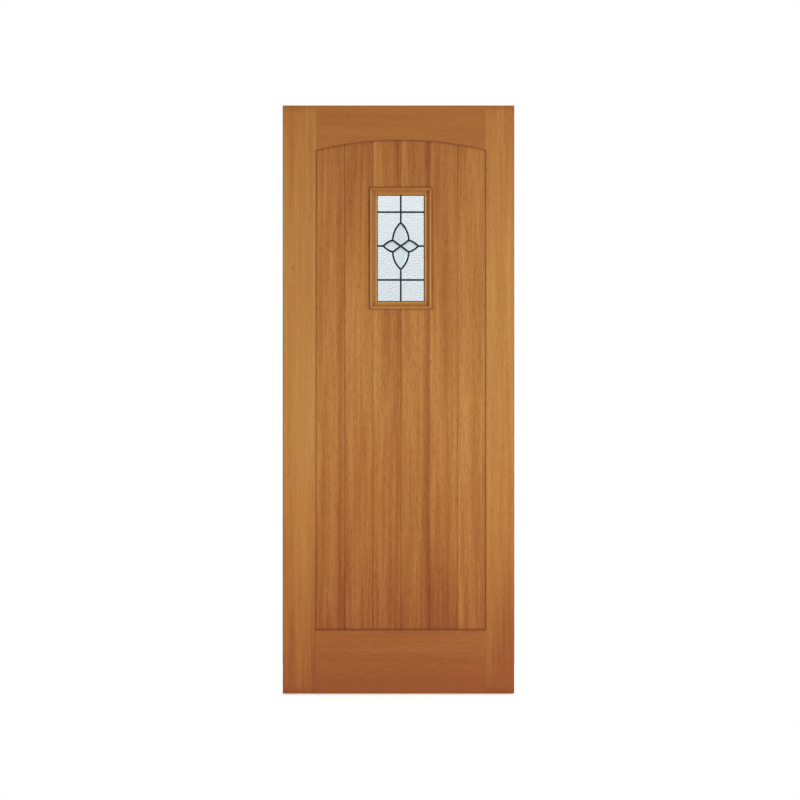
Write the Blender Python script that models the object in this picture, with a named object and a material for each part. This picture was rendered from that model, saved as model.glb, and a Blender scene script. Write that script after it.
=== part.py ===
# A framed and boarded external door leaf with a small leaded light.
# Metres, +Z up. X runs across the leaf from the hanging edge to the lock edge, -Y is the outside face.
# The origin is on the hanging edge, at mid height and mid thickness, where the middle hinge is fixed.

import math

import bmesh
import bpy
from mathutils import Matrix, Vector, geometry

# Leaf
LEAF_HEIGHT = 2.032
LEAF_THICKNESS = 0.044
HANGING_STILE_WIDTH = 0.1155
LOCK_STILE_WIDTH = 0.0998
TOP_RAIL_DEPTH = 0.1205
BOTTOM_RAIL_DEPTH = 0.2210
ARCH_RISE = 0.035
LEAF_EDGE_EASING = 0.0015
FRAME_CHAMFER = 0.003

# Boards, each face set back from the frame's
BOARD_COUNT = 6
BOARD_COVER = 0.0976
BOARD_RECESS = 0.003
BOARD_CHAMFER = 0.0022
TONGUE_THICKNESS = 0.010
TONGUE_DEPTH = 0.008

# Fits. The tongues that enter the frame are planed a little thinner than those between the boards.
JOINT_GAP = 0.0003
TONGUE_END_GAP = 0.001
FRAME_TONGUE_EASING = 0.0004

# The light: the first board that it cuts, how many it cuts, and what shows of the glass
LIGHT_FIRST_BOARD = 3
LIGHT_BOARD_COUNT = 2
SIGHT_HEIGHT = 0.3695
SIGHT_DROP = 0.3085

# Mouldings round the light, measured outwards from the sight edge and outwards from the boards' face
MOULDING_COVER = 0.0156
MOULDING_LAP = 0.0102
MOULDING_RISE = 0.007
MOULDING_TOP_WIDTH = 0.0052
MOULDING_OUTER_RADIUS = 0.004
MOULDING_STEP = 0.001
ASTRAGAL_RADIUS = 0.003
ASTRAGAL_SEAT = 0.0055
ASTRAGAL_QUIRK = 0.001
INSIDE_MOULDING_RISE = 0.005
INSIDE_SIGHT_RISE = 0.001
INSIDE_MOULDING_ROUND = 0.003

# Sealed unit
UNIT_THICKNESS = 0.024
UNIT_EDGE_GAP = 0.0025
PANE_THICKNESS = 0.004
SPACER_WIDTH = 0.008
SPACER_INSET = 0.003

# Leaded light
CAME_WIDTH = 0.005
CAME_FLANGE = 0.001
CAME_HEART = 0.0015
BORDER_SHOWS = 0.002
QUARRY_THICKNESS = 0.004
BEVEL_RUN = 0.006
BEVEL_FALL = 0.0015
TOP_QUARRY_HEIGHT = 0.0593
BOTTOM_QUARRY_HEIGHT = 0.0756
FLOWER_HEAD_MARGIN = 0.0363
FLOWER_SIDE_MARGIN = 0.022
FLOWER_SHOULDER_X = 0.0277
FLOWER_SHOULDER_Z = 0.0204
PETAL_SWELL = 0.0068
SIDE_PETAL_SWELL = 0.0030

# How finely curves are faceted, and how far a cutter runs past what it cuts
ARCH_STEPS = 32
PETAL_STEPS = 7
PROFILE_STEPS = 6
CUTTER_OVERRUN = 0.005
SMOOTH_BELOW = math.radians(35)

# Worked out from the sizes above
HALF_HEIGHT = LEAF_HEIGHT / 2
BOARD_THICKNESS = LEAF_THICKNESS - 2 * BOARD_RECESS
PANEL_LEFT = HANGING_STILE_WIDTH
PANEL_RIGHT = PANEL_LEFT + BOARD_COUNT * BOARD_COVER
LEAF_WIDTH = PANEL_RIGHT + LOCK_STILE_WIDTH
PANEL_MIDDLE = (PANEL_LEFT + PANEL_RIGHT) / 2
PANEL_FOOT = -HALF_HEIGHT + BOTTOM_RAIL_DEPTH
ARCH_CROWN = HALF_HEIGHT - TOP_RAIL_DEPTH
ARCH_SPRING = ARCH_CROWN - ARCH_RISE
ARCH_HALF_SPAN = (PANEL_RIGHT - PANEL_LEFT) / 2
ARCH_RADIUS = (ARCH_HALF_SPAN**2 + ARCH_RISE**2) / (2 * ARCH_RISE)
ARCH_CENTRE = ARCH_CROWN - ARCH_RADIUS

APERTURE_LEFT = PANEL_LEFT + (LIGHT_FIRST_BOARD - 1) * BOARD_COVER
APERTURE_RIGHT = APERTURE_LEFT + LIGHT_BOARD_COUNT * BOARD_COVER
SIGHT_LEFT = APERTURE_LEFT + MOULDING_COVER
SIGHT_RIGHT = APERTURE_RIGHT - MOULDING_COVER
SIGHT_TOP = HALF_HEIGHT - SIGHT_DROP
SIGHT_FOOT = SIGHT_TOP - SIGHT_HEIGHT
APERTURE_TOP = SIGHT_TOP + MOULDING_COVER
APERTURE_FOOT = SIGHT_FOOT - MOULDING_COVER
GLASS_DEPTH = (BOARD_THICKNESS - UNIT_THICKNESS) / 2

UNIT_LEFT = APERTURE_LEFT + UNIT_EDGE_GAP
UNIT_RIGHT = APERTURE_RIGHT - UNIT_EDGE_GAP
UNIT_FOOT = APERTURE_FOOT + JOINT_GAP
UNIT_TOP = APERTURE_TOP - UNIT_EDGE_GAP
UNIT_OUTSIDE = -UNIT_THICKNESS / 2
CHANNEL_WIDTH = QUARRY_THICKNESS + 2 * JOINT_GAP
CAME_DEPTH = CHANNEL_WIDTH + 2 * CAME_FLANGE
LEAD_BACK = UNIT_OUTSIDE + CAME_DEPTH
LEAD_MIDDLE = UNIT_OUTSIDE + CAME_DEPTH / 2
UNIT_INSIDE = UNIT_THICKNESS / 2
PANE_OUTSIDE = UNIT_INSIDE - PANE_THICKNESS

UPPER_LEAD_LINE = SIGHT_TOP - TOP_QUARRY_HEIGHT
LOWER_LEAD_LINE = SIGHT_FOOT + BOTTOM_QUARRY_HEIGHT
PATTERN_X = (SIGHT_LEFT + SIGHT_RIGHT) / 2
PATTERN_Z = (UPPER_LEAD_LINE + LOWER_LEAD_LINE) / 2
LEAD_LINE_OFFSET = UPPER_LEAD_LINE - PATTERN_Z
SIGHT_HALF_WIDTH = (SIGHT_RIGHT - SIGHT_LEFT) / 2
BORDER_INSET = BORDER_SHOWS - CAME_WIDTH / 2
FLOWER_TIP = LEAD_LINE_OFFSET - FLOWER_HEAD_MARGIN
FLOWER_SIDE_TIP = SIGHT_HALF_WIDTH - FLOWER_SIDE_MARGIN


def clear_scene():
    """Takes out whatever the scene starts with."""
    for obj in list(bpy.data.objects):
        bpy.data.objects.remove(obj, do_unlink=True)


def make_collection(name):
    """A new collection in the scene."""
    collection = bpy.data.collections.new(name)
    bpy.context.scene.collection.children.link(collection)
    return collection


def make_material(name, colour, roughness, metallic=0.0, transmission=0.0):
    """A plain Principled material."""
    material = bpy.data.materials.new(name)
    material.use_nodes = True
    material.diffuse_color = (*colour, 1.0)
    shader = material.node_tree.nodes["Principled BSDF"]
    shader.inputs["Base Color"].default_value = (*colour, 1.0)
    shader.inputs["Roughness"].default_value = roughness
    shader.inputs["Metallic"].default_value = metallic
    shader.inputs["Transmission Weight"].default_value = transmission
    return material


clear_scene()
LEAF = make_collection("door_leaf")
CUTTERS = make_collection("cutters")
FRAME_WOOD = make_material("frame_wood", (0.42, 0.19, 0.058), 0.42)
BOARD_WOOD = make_material("board_wood", (0.40, 0.18, 0.055), 0.42)
MOULDING_WOOD = make_material("moulding_wood", (0.38, 0.165, 0.046), 0.4)
TEXTURED_GLASS = make_material("textured_glass", (0.82, 0.90, 0.93), 0.15, transmission=1.0)
CLEAR_GLASS = make_material("clear_glass", (0.86, 0.93, 0.93), 0.02, transmission=1.0)
LEAD = make_material("lead", (0.018, 0.022, 0.025), 0.5, metallic=0.6)
SPACER_METAL = make_material("spacer_metal", (0.45, 0.46, 0.47), 0.4, metallic=1.0)


def finish_object(name, mesh, matrix, material):
    """Puts a mesh in the scene: as a piece of the leaf, or as a cutter when it has no material."""
    obj = bpy.data.objects.new(name, mesh)
    obj.matrix_world = matrix
    if material is None:
        CUTTERS.objects.link(obj)
        obj.hide_render = True
        obj.display_type = "WIRE"
    else:
        LEAF.objects.link(obj)
        mesh.materials.append(material)
    return obj


def plate(name, outline, thickness, matrix, material=None):
    """A flat outline, given in the matrix's local XY, as a closed solid centred on that plane."""
    curve = bpy.data.curves.new(name + "_outline", "CURVE")
    curve.dimensions = "2D"
    curve.fill_mode = "BOTH"
    curve.extrude = thickness / 2
    spline = curve.splines.new("POLY")
    spline.points.add(len(outline) - 1)
    for point, (x, y) in zip(spline.points, outline):
        point.co = (x, y, 0.0, 1.0)
    spline.use_cyclic_u = True
    spline.use_smooth = False
    drawn = bpy.data.objects.new(name + "_outline", curve)
    bpy.context.scene.collection.objects.link(drawn)
    drawn.matrix_world = matrix
    graph = bpy.context.evaluated_depsgraph_get()
    mesh = bpy.data.meshes.new_from_object(drawn.evaluated_get(graph))
    mesh.name = name
    matrix_world = drawn.matrix_world.copy()
    bpy.data.objects.remove(drawn)
    bpy.data.curves.remove(curve)
    close_mesh(mesh)
    return finish_object(name, mesh, matrix_world, material)


def close_mesh(mesh):
    """Welds a mesh's loose caps and turns its faces outwards."""
    bm = bmesh.new()
    bm.from_mesh(mesh)
    bmesh.ops.remove_doubles(bm, verts=bm.verts, dist=1e-6)
    bmesh.ops.recalc_face_normals(bm, faces=bm.faces)
    bm.to_mesh(mesh)
    bm.free()


def smooth_curves(mesh):
    """Shades a mesh smooth, but for its arrises."""
    mesh.shade_smooth()
    mesh.set_sharp_from_angle(angle=SMOOTH_BELOW)


def upright(y):
    """The matrix of a plate that stands in the XZ plane with its middle at y."""
    return Matrix.Translation((0.0, y, 0.0)) @ Matrix.Rotation(math.pi / 2, 4, "X")


def flat(z):
    """The matrix of a plate that lies in the XY plane with its middle at z."""
    return Matrix.Translation((0.0, 0.0, z))


def skin(name, rings, material=None):
    """A solid through upright rings of equally many points, each given as (outline, y)."""
    bm = bmesh.new()
    loops = []
    for outline, y in rings:
        verts = [bm.verts.new((x, y, z)) for x, z in outline]
        pairs = zip(verts, verts[1:] + verts[:1])
        loops.append([bm.edges.new(pair) for pair in pairs])
    for lower, upper in zip(loops, loops[1:]):
        bmesh.ops.bridge_loops(bm, edges=lower + upper)
    bmesh.ops.contextual_create(bm, geom=loops[0])
    bmesh.ops.contextual_create(bm, geom=loops[-1])
    bmesh.ops.recalc_face_normals(bm, faces=bm.faces)
    mesh = bpy.data.meshes.new(name)
    bm.to_mesh(mesh)
    bm.free()
    return finish_object(name, mesh, Matrix.Identity(4), material)


def box(name, low, high, material=None, eased_sides=()):
    """A box between two corners, its edges chamfered where an eased side meets a face or an eased side."""
    low, high = Vector(low), Vector(high)
    size = high - low
    bm = bmesh.new()
    bmesh.ops.create_cube(bm, size=1.0, matrix=Matrix.Diagonal((*size, 1.0)))
    eased = []
    for edge in bm.edges:
        normals = [tuple(round(c) for c in face.normal) for face in edge.link_faces]
        on_sides = [normal in eased_sides for normal in normals]
        on_faces = [normal[1] != 0 for normal in normals]
        if any(on_sides) and (all(on_sides) or any(on_faces)):
            eased.append(edge)
    if eased:
        bmesh.ops.bevel(bm, geom=eased, offset=LEAF_EDGE_EASING, segments=1, affect="EDGES")
    mesh = bpy.data.meshes.new(name)
    bm.to_mesh(mesh)
    bm.free()
    return finish_object(name, mesh, Matrix.Translation((low + high) / 2), material)


def boolean(obj, cutter, operation="DIFFERENCE"):
    """Cuts a piece with a cutter, or keeps what they share."""
    modifier = obj.modifiers.new(cutter.name, "BOOLEAN")
    modifier.operation = operation
    modifier.object = cutter


def rectangle(left, foot, right, top):
    """A rectangle's corners, anticlockwise."""
    return [(left, foot), (right, foot), (right, top), (left, top)]


def panel_outline(grow):
    """The opening between stiles and rails, moved outwards by grow: square below, arched above."""
    left, right = PANEL_LEFT - grow, PANEL_RIGHT + grow
    radius = ARCH_RADIUS + grow
    outline = [(left, PANEL_FOOT - grow), (right, PANEL_FOOT - grow)]
    for step in range(ARCH_STEPS + 1):
        x = right + (left - right) * step / ARCH_STEPS
        outline.append((x, ARCH_CENTRE + math.sqrt(radius**2 - (x - PANEL_MIDDLE) ** 2)))
    return outline


def panel_cutters():
    """What is cut from the frame: the opening, the groove for the boards' tongues, and the two chamfers."""
    groove = TONGUE_DEPTH + TONGUE_END_GAP
    opening = plate("cut_opening", panel_outline(0.0), 2 * LEAF_THICKNESS, upright(0.0))
    plough = plate("cut_groove", panel_outline(groove), TONGUE_THICKNESS + 2 * JOINT_GAP, upright(0.0))
    chamfers = []
    for side in (-1, 1):
        face = side * LEAF_THICKNESS / 2
        wide = (panel_outline(FRAME_CHAMFER + CUTTER_OVERRUN), face + side * CUTTER_OVERRUN)
        narrow = (panel_outline(-CUTTER_OVERRUN), face - side * (FRAME_CHAMFER + CUTTER_OVERRUN))
        label = "outside" if side < 0 else "inside"
        chamfers.append(skin("cut_chamfer_" + label, [wide, narrow]))
    return opening, plough, chamfers


def make_frame():
    """The two stiles and the two rails."""
    opening, plough, chamfers = panel_cutters()
    half = LEAF_THICKNESS / 2
    left, right = PANEL_LEFT + JOINT_GAP, PANEL_RIGHT - JOINT_GAP
    up, down = (0, 0, 1), (0, 0, -1)
    stiles = [
        box("stile_hanging", (0.0, -half, -HALF_HEIGHT), (PANEL_LEFT, half, HALF_HEIGHT),
            FRAME_WOOD, ((-1, 0, 0), up, down)),
        box("stile_lock", (PANEL_RIGHT, -half, -HALF_HEIGHT), (LEAF_WIDTH, half, HALF_HEIGHT),
            FRAME_WOOD, ((1, 0, 0), up, down)),
    ]
    top = box("rail_top", (left, -half, ARCH_SPRING), (right, half, HALF_HEIGHT), FRAME_WOOD, (up,))
    bottom = box("rail_bottom", (left, -half, -HALF_HEIGHT), (right, half, PANEL_FOOT), FRAME_WOOD, (down,))
    boolean(top, opening)
    for member in (*stiles, top, bottom):
        boolean(member, plough)
        for chamfer in chamfers:
            boolean(member, chamfer)


def board_section(left, right, first):
    """A board's section in XY between two joint lines, with chamfered arrises. It has a tongue on the right,
    and on the left a groove, or a second tongue on the first board."""
    left, right = left + JOINT_GAP / 2, right - JOINT_GAP / 2
    face, half_tongue = BOARD_THICKNESS / 2, TONGUE_THICKNESS / 2
    if first:
        side, depth = half_tongue, -TONGUE_DEPTH
    else:
        side, depth = half_tongue + JOINT_GAP, TONGUE_DEPTH + TONGUE_END_GAP
    return [
        (left + BOARD_CHAMFER, -face),
        (right - BOARD_CHAMFER, -face),
        (right, BOARD_CHAMFER - face),
        (right, -half_tongue),
        (right + TONGUE_DEPTH, -half_tongue),
        (right + TONGUE_DEPTH, half_tongue),
        (right, half_tongue),
        (right, face - BOARD_CHAMFER),
        (right - BOARD_CHAMFER, face),
        (left + BOARD_CHAMFER, face),
        (left, face - BOARD_CHAMFER),
        (left, side),
        (left + depth, side),
        (left + depth, -side),
        (left, -side),
        (left, BOARD_CHAMFER - face),
    ]


def make_board(name, number, foot, top, blanks, aperture):
    """One board between two heights, its ends shaped by the panel's blank, with its tongues and its arch."""
    left = PANEL_LEFT + (number - 1) * BOARD_COVER
    section = board_section(left, left + BOARD_COVER, number == 1)
    board = plate(name, section, top - foot, flat((top + foot) / 2), BOARD_WOOD)
    boolean(board, blanks, "INTERSECT")
    if number in (LIGHT_FIRST_BOARD - 1, LIGHT_FIRST_BOARD + LIGHT_BOARD_COUNT):
        boolean(board, aperture)


def make_boards():
    """All the boards. Those that the light cuts are an upper and a lower piece."""
    blank = plate("cut_panel_blank", panel_outline(-JOINT_GAP), 2 * BOARD_THICKNESS, upright(0.0))
    eased = TONGUE_THICKNESS - 2 * FRAME_TONGUE_EASING
    tongues = plate("cut_panel_tongues", panel_outline(TONGUE_DEPTH), eased, upright(0.0))
    boolean(blank, tongues, "UNION")
    aperture = box("cut_aperture", (APERTURE_LEFT - JOINT_GAP, -LEAF_THICKNESS, APERTURE_FOOT),
                   (APERTURE_RIGHT + JOINT_GAP, LEAF_THICKNESS, APERTURE_TOP))
    foot = PANEL_FOOT - TONGUE_DEPTH - CUTTER_OVERRUN
    top = ARCH_CROWN + TONGUE_DEPTH + CUTTER_OVERRUN
    for number in range(1, BOARD_COUNT + 1):
        name = f"board_{number}"
        if LIGHT_FIRST_BOARD <= number < LIGHT_FIRST_BOARD + LIGHT_BOARD_COUNT:
            make_board(name + "_lower", number, foot, APERTURE_FOOT, blank, aperture)
            make_board(name + "_upper", number, APERTURE_TOP, top, blank, aperture)
        else:
            make_board(name, number, foot, top, blank, aperture)


def arc(centre, radii, start, end, steps=PROFILE_STEPS):
    """Points on part of an ellipse, from one angle to another in degrees."""
    angles = [math.radians(start + (end - start) * i / steps) for i in range(steps + 1)]
    return [(centre[0] + radii[0] * math.cos(a), centre[1] + radii[1] * math.sin(a)) for a in angles]


def moulding_back():
    """The back of every moulding: over the boards' face, down the aperture's edge and along the glass."""
    width = MOULDING_COVER + MOULDING_LAP
    rebate = MOULDING_COVER - JOINT_GAP
    glass = JOINT_GAP - GLASS_DEPTH
    return [(width, JOINT_GAP), (rebate, JOINT_GAP), (rebate, glass), (0.0, glass)]


def outside_section():
    """The outside moulding: an astragal at the glass, a cove, and a flat top rounded down to the boards."""
    width = MOULDING_COVER + MOULDING_LAP
    cove_start = 2 * ASTRAGAL_RADIUS + ASTRAGAL_QUIRK
    cove_end = width - MOULDING_OUTER_RADIUS - MOULDING_TOP_WIDTH
    cove_top = MOULDING_RISE - MOULDING_STEP
    seat = ASTRAGAL_SEAT - GLASS_DEPTH
    astragal = arc((ASTRAGAL_RADIUS, seat), (ASTRAGAL_RADIUS, ASTRAGAL_RADIUS), 180, 0)
    cove = arc((cove_start, cove_top), (cove_end - cove_start, cove_top - seat), 270, 360)
    fall = min(MOULDING_OUTER_RADIUS, MOULDING_RISE - 2 * JOINT_GAP)
    round_centre = (width - MOULDING_OUTER_RADIUS, MOULDING_RISE - fall)
    outer_round = arc(round_centre, (MOULDING_OUTER_RADIUS, fall), 90, 0)
    top_start = (cove_end, MOULDING_RISE)
    return astragal + cove + [top_start] + outer_round + moulding_back()


def inside_section():
    """The inside moulding, plainer: a slightly splayed bead with its two arrises rounded."""
    width = MOULDING_COVER + MOULDING_LAP
    radius = INSIDE_MOULDING_ROUND
    fall = min(radius, INSIDE_MOULDING_RISE - 2 * JOINT_GAP)
    inner_round = arc((radius, INSIDE_SIGHT_RISE), (radius, radius), 180, 90)
    outer_round = arc((width - radius, INSIDE_MOULDING_RISE - fall), (radius, fall), 90, 0)
    return inner_round + outer_round + moulding_back()


def make_moulding(name, section, side, face):
    """One mitred length. side points away from the glass and face away from the leaf, both along an axis."""
    along = side.cross(face)
    middle = Vector((PATTERN_X, 0.0, (SIGHT_FOOT + SIGHT_TOP) / 2))
    half_sight = Vector((SIGHT_HALF_WIDTH, 0.0, SIGHT_HEIGHT / 2))
    start = middle + side * half_sight.dot(Vector(map(abs, side))) + face * (BOARD_THICKNESS / 2)
    half_length = half_sight.dot(Vector(map(abs, along)))
    rotation = Matrix((side, face, along)).transposed().to_4x4()
    matrix = Matrix.Translation(start) @ rotation
    moulding = plate(name, section, 2 * half_length, matrix, MOULDING_WOOD)
    for vertex in moulding.data.vertices:
        mitre = half_length + vertex.co.x - JOINT_GAP / 2
        vertex.co.z = math.copysign(mitre, vertex.co.z)
    smooth_curves(moulding.data)


def make_mouldings():
    """Four lengths round the light on each face."""
    sides = {
        "top": Vector((0, 0, 1)),
        "bottom": Vector((0, 0, -1)),
        "left": Vector((-1, 0, 0)),
        "right": Vector((1, 0, 0)),
    }
    faces = {
        "outside": (Vector((0, -1, 0)), outside_section()),
        "inside": (Vector((0, 1, 0)), inside_section()),
    }
    for face_name, (face, section) in faces.items():
        for side_name, side in sides.items():
            make_moulding(f"moulding_{face_name}_{side_name}", section, side, face)


def mirrored(cell, flip_x, flip_z):
    """A cell mirrored left to right, or top to bottom, or both, and still anticlockwise."""
    corners = [(-x if flip_x else x, -z if flip_z else z) for (x, z), _ in cell]
    swells = [swell for _, swell in cell]
    if flip_x != flip_z:
        corners = corners[::-1]
        swells = swells[-2::-1] + swells[-1:]
    return list(zip(corners, swells))


def moved_side(start, end, swell, distance):
    """A cell's side moved inwards: (point, point, None) if it is straight, or else (centre, None, radius)."""
    chord = end - start
    inwards = Vector((-chord.y, chord.x)).normalized()
    if swell == 0:
        return start + inwards * distance, end + inwards * distance, None
    radius = (chord.length_squared / 4 + swell**2) / (2 * swell)
    centre = (start + end) / 2 + inwards * (radius - swell)
    return centre, None, abs(radius - distance)


def crossing(first, second, near):
    """Where two moved sides meet, closest to the corner that they come from."""
    if first[2] is None and second[2] is None:
        lines = [point.to_3d() for point in (*first[:2], *second[:2])]
        return geometry.intersect_line_line(*lines)[0].to_2d()
    if first[2] is None or second[2] is None:
        line, circle = (first, second) if first[2] is None else (second, first)
        found = geometry.intersect_line_sphere_2d(line[0], line[1], circle[0], circle[2], False)
    else:
        found = geometry.intersect_sphere_sphere_2d(first[0], first[2], second[0], second[2])
    return min(found, key=lambda point: (point - near).length)


def between(start, end, centre):
    """The points between start and end on a circle about centre, the short way round."""
    arm = start - centre
    turn = -arm.angle_signed(end - centre)
    turns = [Matrix.Rotation(turn * step / PETAL_STEPS, 2) for step in range(1, PETAL_STEPS)]
    return [centre + rotation @ arm for rotation in turns]


def inset(cell, distance):
    """A cell's outline in the leaf, with every side moved inwards by distance and its corners mitred."""
    corners = [Vector(corner) for corner, _ in cell]
    ends = corners[1:] + corners[:1]
    sides = [moved_side(a, b, swell, distance) for a, b, (_, swell) in zip(corners, ends, cell)]
    starts = [crossing(sides[i - 1], side, corners[i]) for i, side in enumerate(sides)]
    outline = []
    for (centre, _, radius), start, end in zip(sides, starts, starts[1:] + starts[:1]):
        outline.append(start)
        if radius is not None:
            outline += between(start, end, centre)
    return [(x + PATTERN_X, z + PATTERN_Z) for x, z in outline]


def straight(corners):
    """A cell with no curved side."""
    return [(corner, 0.0) for corner in corners]


def textured_cells():
    """The lead's centre lines round each textured quarry, about the flower's centre. A cell is a list of
    corners, anticlockwise, each with how far the side that leaves it bows out."""
    edge = SIGHT_HALF_WIDTH - BORDER_INSET
    head = SIGHT_TOP - PATTERN_Z - BORDER_INSET
    foot = SIGHT_FOOT - PATTERN_Z + BORDER_INSET
    line = LEAD_LINE_OFFSET
    upper = [
        ((0.0, FLOWER_TIP), -PETAL_SWELL),
        ((FLOWER_SHOULDER_X, FLOWER_SHOULDER_Z), -SIDE_PETAL_SWELL),
        ((FLOWER_SIDE_TIP, 0.0), 0.0),
        ((edge, 0.0), 0.0),
        ((edge, line), 0.0),
        ((0.0, line), 0.0),
    ]
    top = straight(rectangle(0.0, line, edge, head))
    bottom = straight(rectangle(0.0, foot, edge, -line))
    return {
        "quarry_top_right": top,
        "quarry_top_left": mirrored(top, True, False),
        "quarry_upper_right": upper,
        "quarry_upper_left": mirrored(upper, True, False),
        "quarry_lower_right": mirrored(upper, False, True),
        "quarry_lower_left": mirrored(upper, True, True),
        "quarry_bottom_right": bottom,
        "quarry_bottom_left": mirrored(bottom, True, False),
    }


def flower_cells():
    """The lead's centre lines round each bevelled petal."""
    x, z = FLOWER_SHOULDER_X, FLOWER_SHOULDER_Z
    upper = [((0.0, 0.0), 0.0), ((x, z), PETAL_SWELL), ((0.0, FLOWER_TIP), PETAL_SWELL), ((-x, z), 0.0)]
    right = [
        ((0.0, 0.0), 0.0),
        ((x, -z), SIDE_PETAL_SWELL),
        ((FLOWER_SIDE_TIP, 0.0), SIDE_PETAL_SWELL),
        ((x, z), 0.0),
    ]
    return {
        "bevel_upper": upper,
        "bevel_lower": mirrored(upper, False, True),
        "bevel_right": right,
        "bevel_left": mirrored(right, True, False),
    }


def make_lattice():
    """The lead net, cut from one plate by a window and a glazing channel for each cell."""
    net = rectangle(UNIT_LEFT, UNIT_FOOT, UNIT_RIGHT, UNIT_TOP)
    middle = upright(LEAD_MIDDLE)
    lattice = plate("came_lattice", net, CAME_DEPTH, middle, LEAD)
    for name, cell in (textured_cells() | flower_cells()).items():
        boolean(lattice, plate("cut_window_" + name, inset(cell, CAME_WIDTH / 2), 2 * CAME_DEPTH, middle))
        boolean(lattice, plate("cut_channel_" + name, inset(cell, CAME_HEART / 2), CHANNEL_WIDTH, middle))


def make_quarries():
    """The glass in each cell. The petals are bevelled: outside, their edge is ground down to a thin rim."""
    clear_of_heart = CAME_HEART / 2 + JOINT_GAP
    front, back = LEAD_MIDDLE - QUARRY_THICKNESS / 2, LEAD_MIDDLE + QUARRY_THICKNESS / 2
    for name, cell in textured_cells().items():
        plate(name, inset(cell, clear_of_heart), QUARRY_THICKNESS, upright(LEAD_MIDDLE), TEXTURED_GLASS)
    for name, cell in flower_cells().items():
        rim = inset(cell, clear_of_heart)
        table = inset(cell, clear_of_heart + BEVEL_RUN)
        skin(name, [(rim, back), (rim, front + BEVEL_FALL), (table, front)], CLEAR_GLASS)


def make_spacer_and_pane():
    """The rest of the sealed unit: a spacer frame behind the lead, and the clear inside pane."""
    front, back = LEAD_BACK + JOINT_GAP, PANE_OUTSIDE - JOINT_GAP
    left, right = UNIT_LEFT + SPACER_INSET, UNIT_RIGHT - SPACER_INSET
    foot, top = UNIT_FOOT + SPACER_INSET, UNIT_TOP - SPACER_INSET
    spacer = box("spacer_frame", (left, front, foot), (right, back, top), SPACER_METAL)
    hollow = box("cut_spacer", (left + SPACER_WIDTH, front - CUTTER_OVERRUN, foot + SPACER_WIDTH),
                 (right - SPACER_WIDTH, back + CUTTER_OVERRUN, top - SPACER_WIDTH))
    boolean(spacer, hollow)
    box("pane_inside", (UNIT_LEFT, PANE_OUTSIDE, UNIT_FOOT), (UNIT_RIGHT, UNIT_INSIDE, UNIT_TOP), CLEAR_GLASS)


make_frame()
make_boards()
make_mouldings()
make_lattice()
make_quarries()
make_spacer_and_pane()
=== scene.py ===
# %% [markdown]
# # A boarded external door with a small leaded light
#
# The leaf is joinery: two stiles and two rails hold six upright boards, which are tongued, grooved and
# V-jointed. The top rail is arched below. High in the middle two boards are cut for a light of leaded glass,
# and a mitred moulding holds it in on each face. Everything is stained a warm orange brown and given a satin
# varnish.
#
# The construction is already there: the frame that is loaded next holds every piece as a plain, exact solid.
# This lesson makes what the eye sees. Nearly every piece is worked out again with numpy as a finer surface,
# at the same place and size, and then gets its finish.

# %% Load the frame
import math

import bmesh
import bpy
import numpy as np
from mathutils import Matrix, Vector, geometry


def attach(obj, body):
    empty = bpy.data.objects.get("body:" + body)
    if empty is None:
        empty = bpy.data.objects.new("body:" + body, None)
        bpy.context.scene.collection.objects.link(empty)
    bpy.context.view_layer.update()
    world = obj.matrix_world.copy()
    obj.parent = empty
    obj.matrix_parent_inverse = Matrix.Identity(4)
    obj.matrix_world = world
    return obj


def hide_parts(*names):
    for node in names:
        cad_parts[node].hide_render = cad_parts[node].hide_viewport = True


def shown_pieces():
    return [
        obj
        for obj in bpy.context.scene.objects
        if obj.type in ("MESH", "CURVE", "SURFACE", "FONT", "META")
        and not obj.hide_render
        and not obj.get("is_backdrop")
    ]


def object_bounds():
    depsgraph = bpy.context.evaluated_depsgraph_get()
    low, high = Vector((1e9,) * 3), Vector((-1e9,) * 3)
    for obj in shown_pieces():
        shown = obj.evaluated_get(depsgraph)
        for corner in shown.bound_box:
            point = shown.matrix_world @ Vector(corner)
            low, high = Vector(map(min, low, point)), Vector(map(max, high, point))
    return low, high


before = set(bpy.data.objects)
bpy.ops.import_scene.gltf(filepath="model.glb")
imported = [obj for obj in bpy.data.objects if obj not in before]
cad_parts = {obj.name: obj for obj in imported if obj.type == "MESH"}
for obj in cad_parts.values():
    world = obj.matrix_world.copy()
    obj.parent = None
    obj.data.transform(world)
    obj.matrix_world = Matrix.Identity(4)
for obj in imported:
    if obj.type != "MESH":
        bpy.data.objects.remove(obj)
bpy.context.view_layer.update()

print("nodes in the frame:", len(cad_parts))

# %% [markdown]
# ## The sizes that the finer pieces repeat
#
# X runs across the leaf from the hanging edge, -Y is the outside face and Z is up from mid height. A joiner
# would read these sizes off a setting-out rod. Each one is written once here, and what follows from it is
# worked out, so a finer piece always lands where its plain solid is.

# %% Sizes of the leaf and its boards
LEAF_HEIGHT = 2.032
LEAF_THICKNESS = 0.044
HANGING_STILE_WIDTH = 0.1155
LOCK_STILE_WIDTH = 0.0998
TOP_RAIL_DEPTH = 0.1205
BOTTOM_RAIL_DEPTH = 0.2210
ARCH_RISE = 0.035
LEAF_EDGE_EASING = 0.0015
FRAME_CHAMFER = 0.003

BOARD_COUNT = 6
BOARD_COVER = 0.0976
BOARD_RECESS = 0.003
BOARD_CHAMFER = 0.0022
HALF_TONGUE = 0.005
TONGUE_DEPTH = 0.008
GROOVE_DEPTH = 0.009
JOINT_GAP = 0.0003
END_TONGUE_EASING = 0.0004

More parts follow.
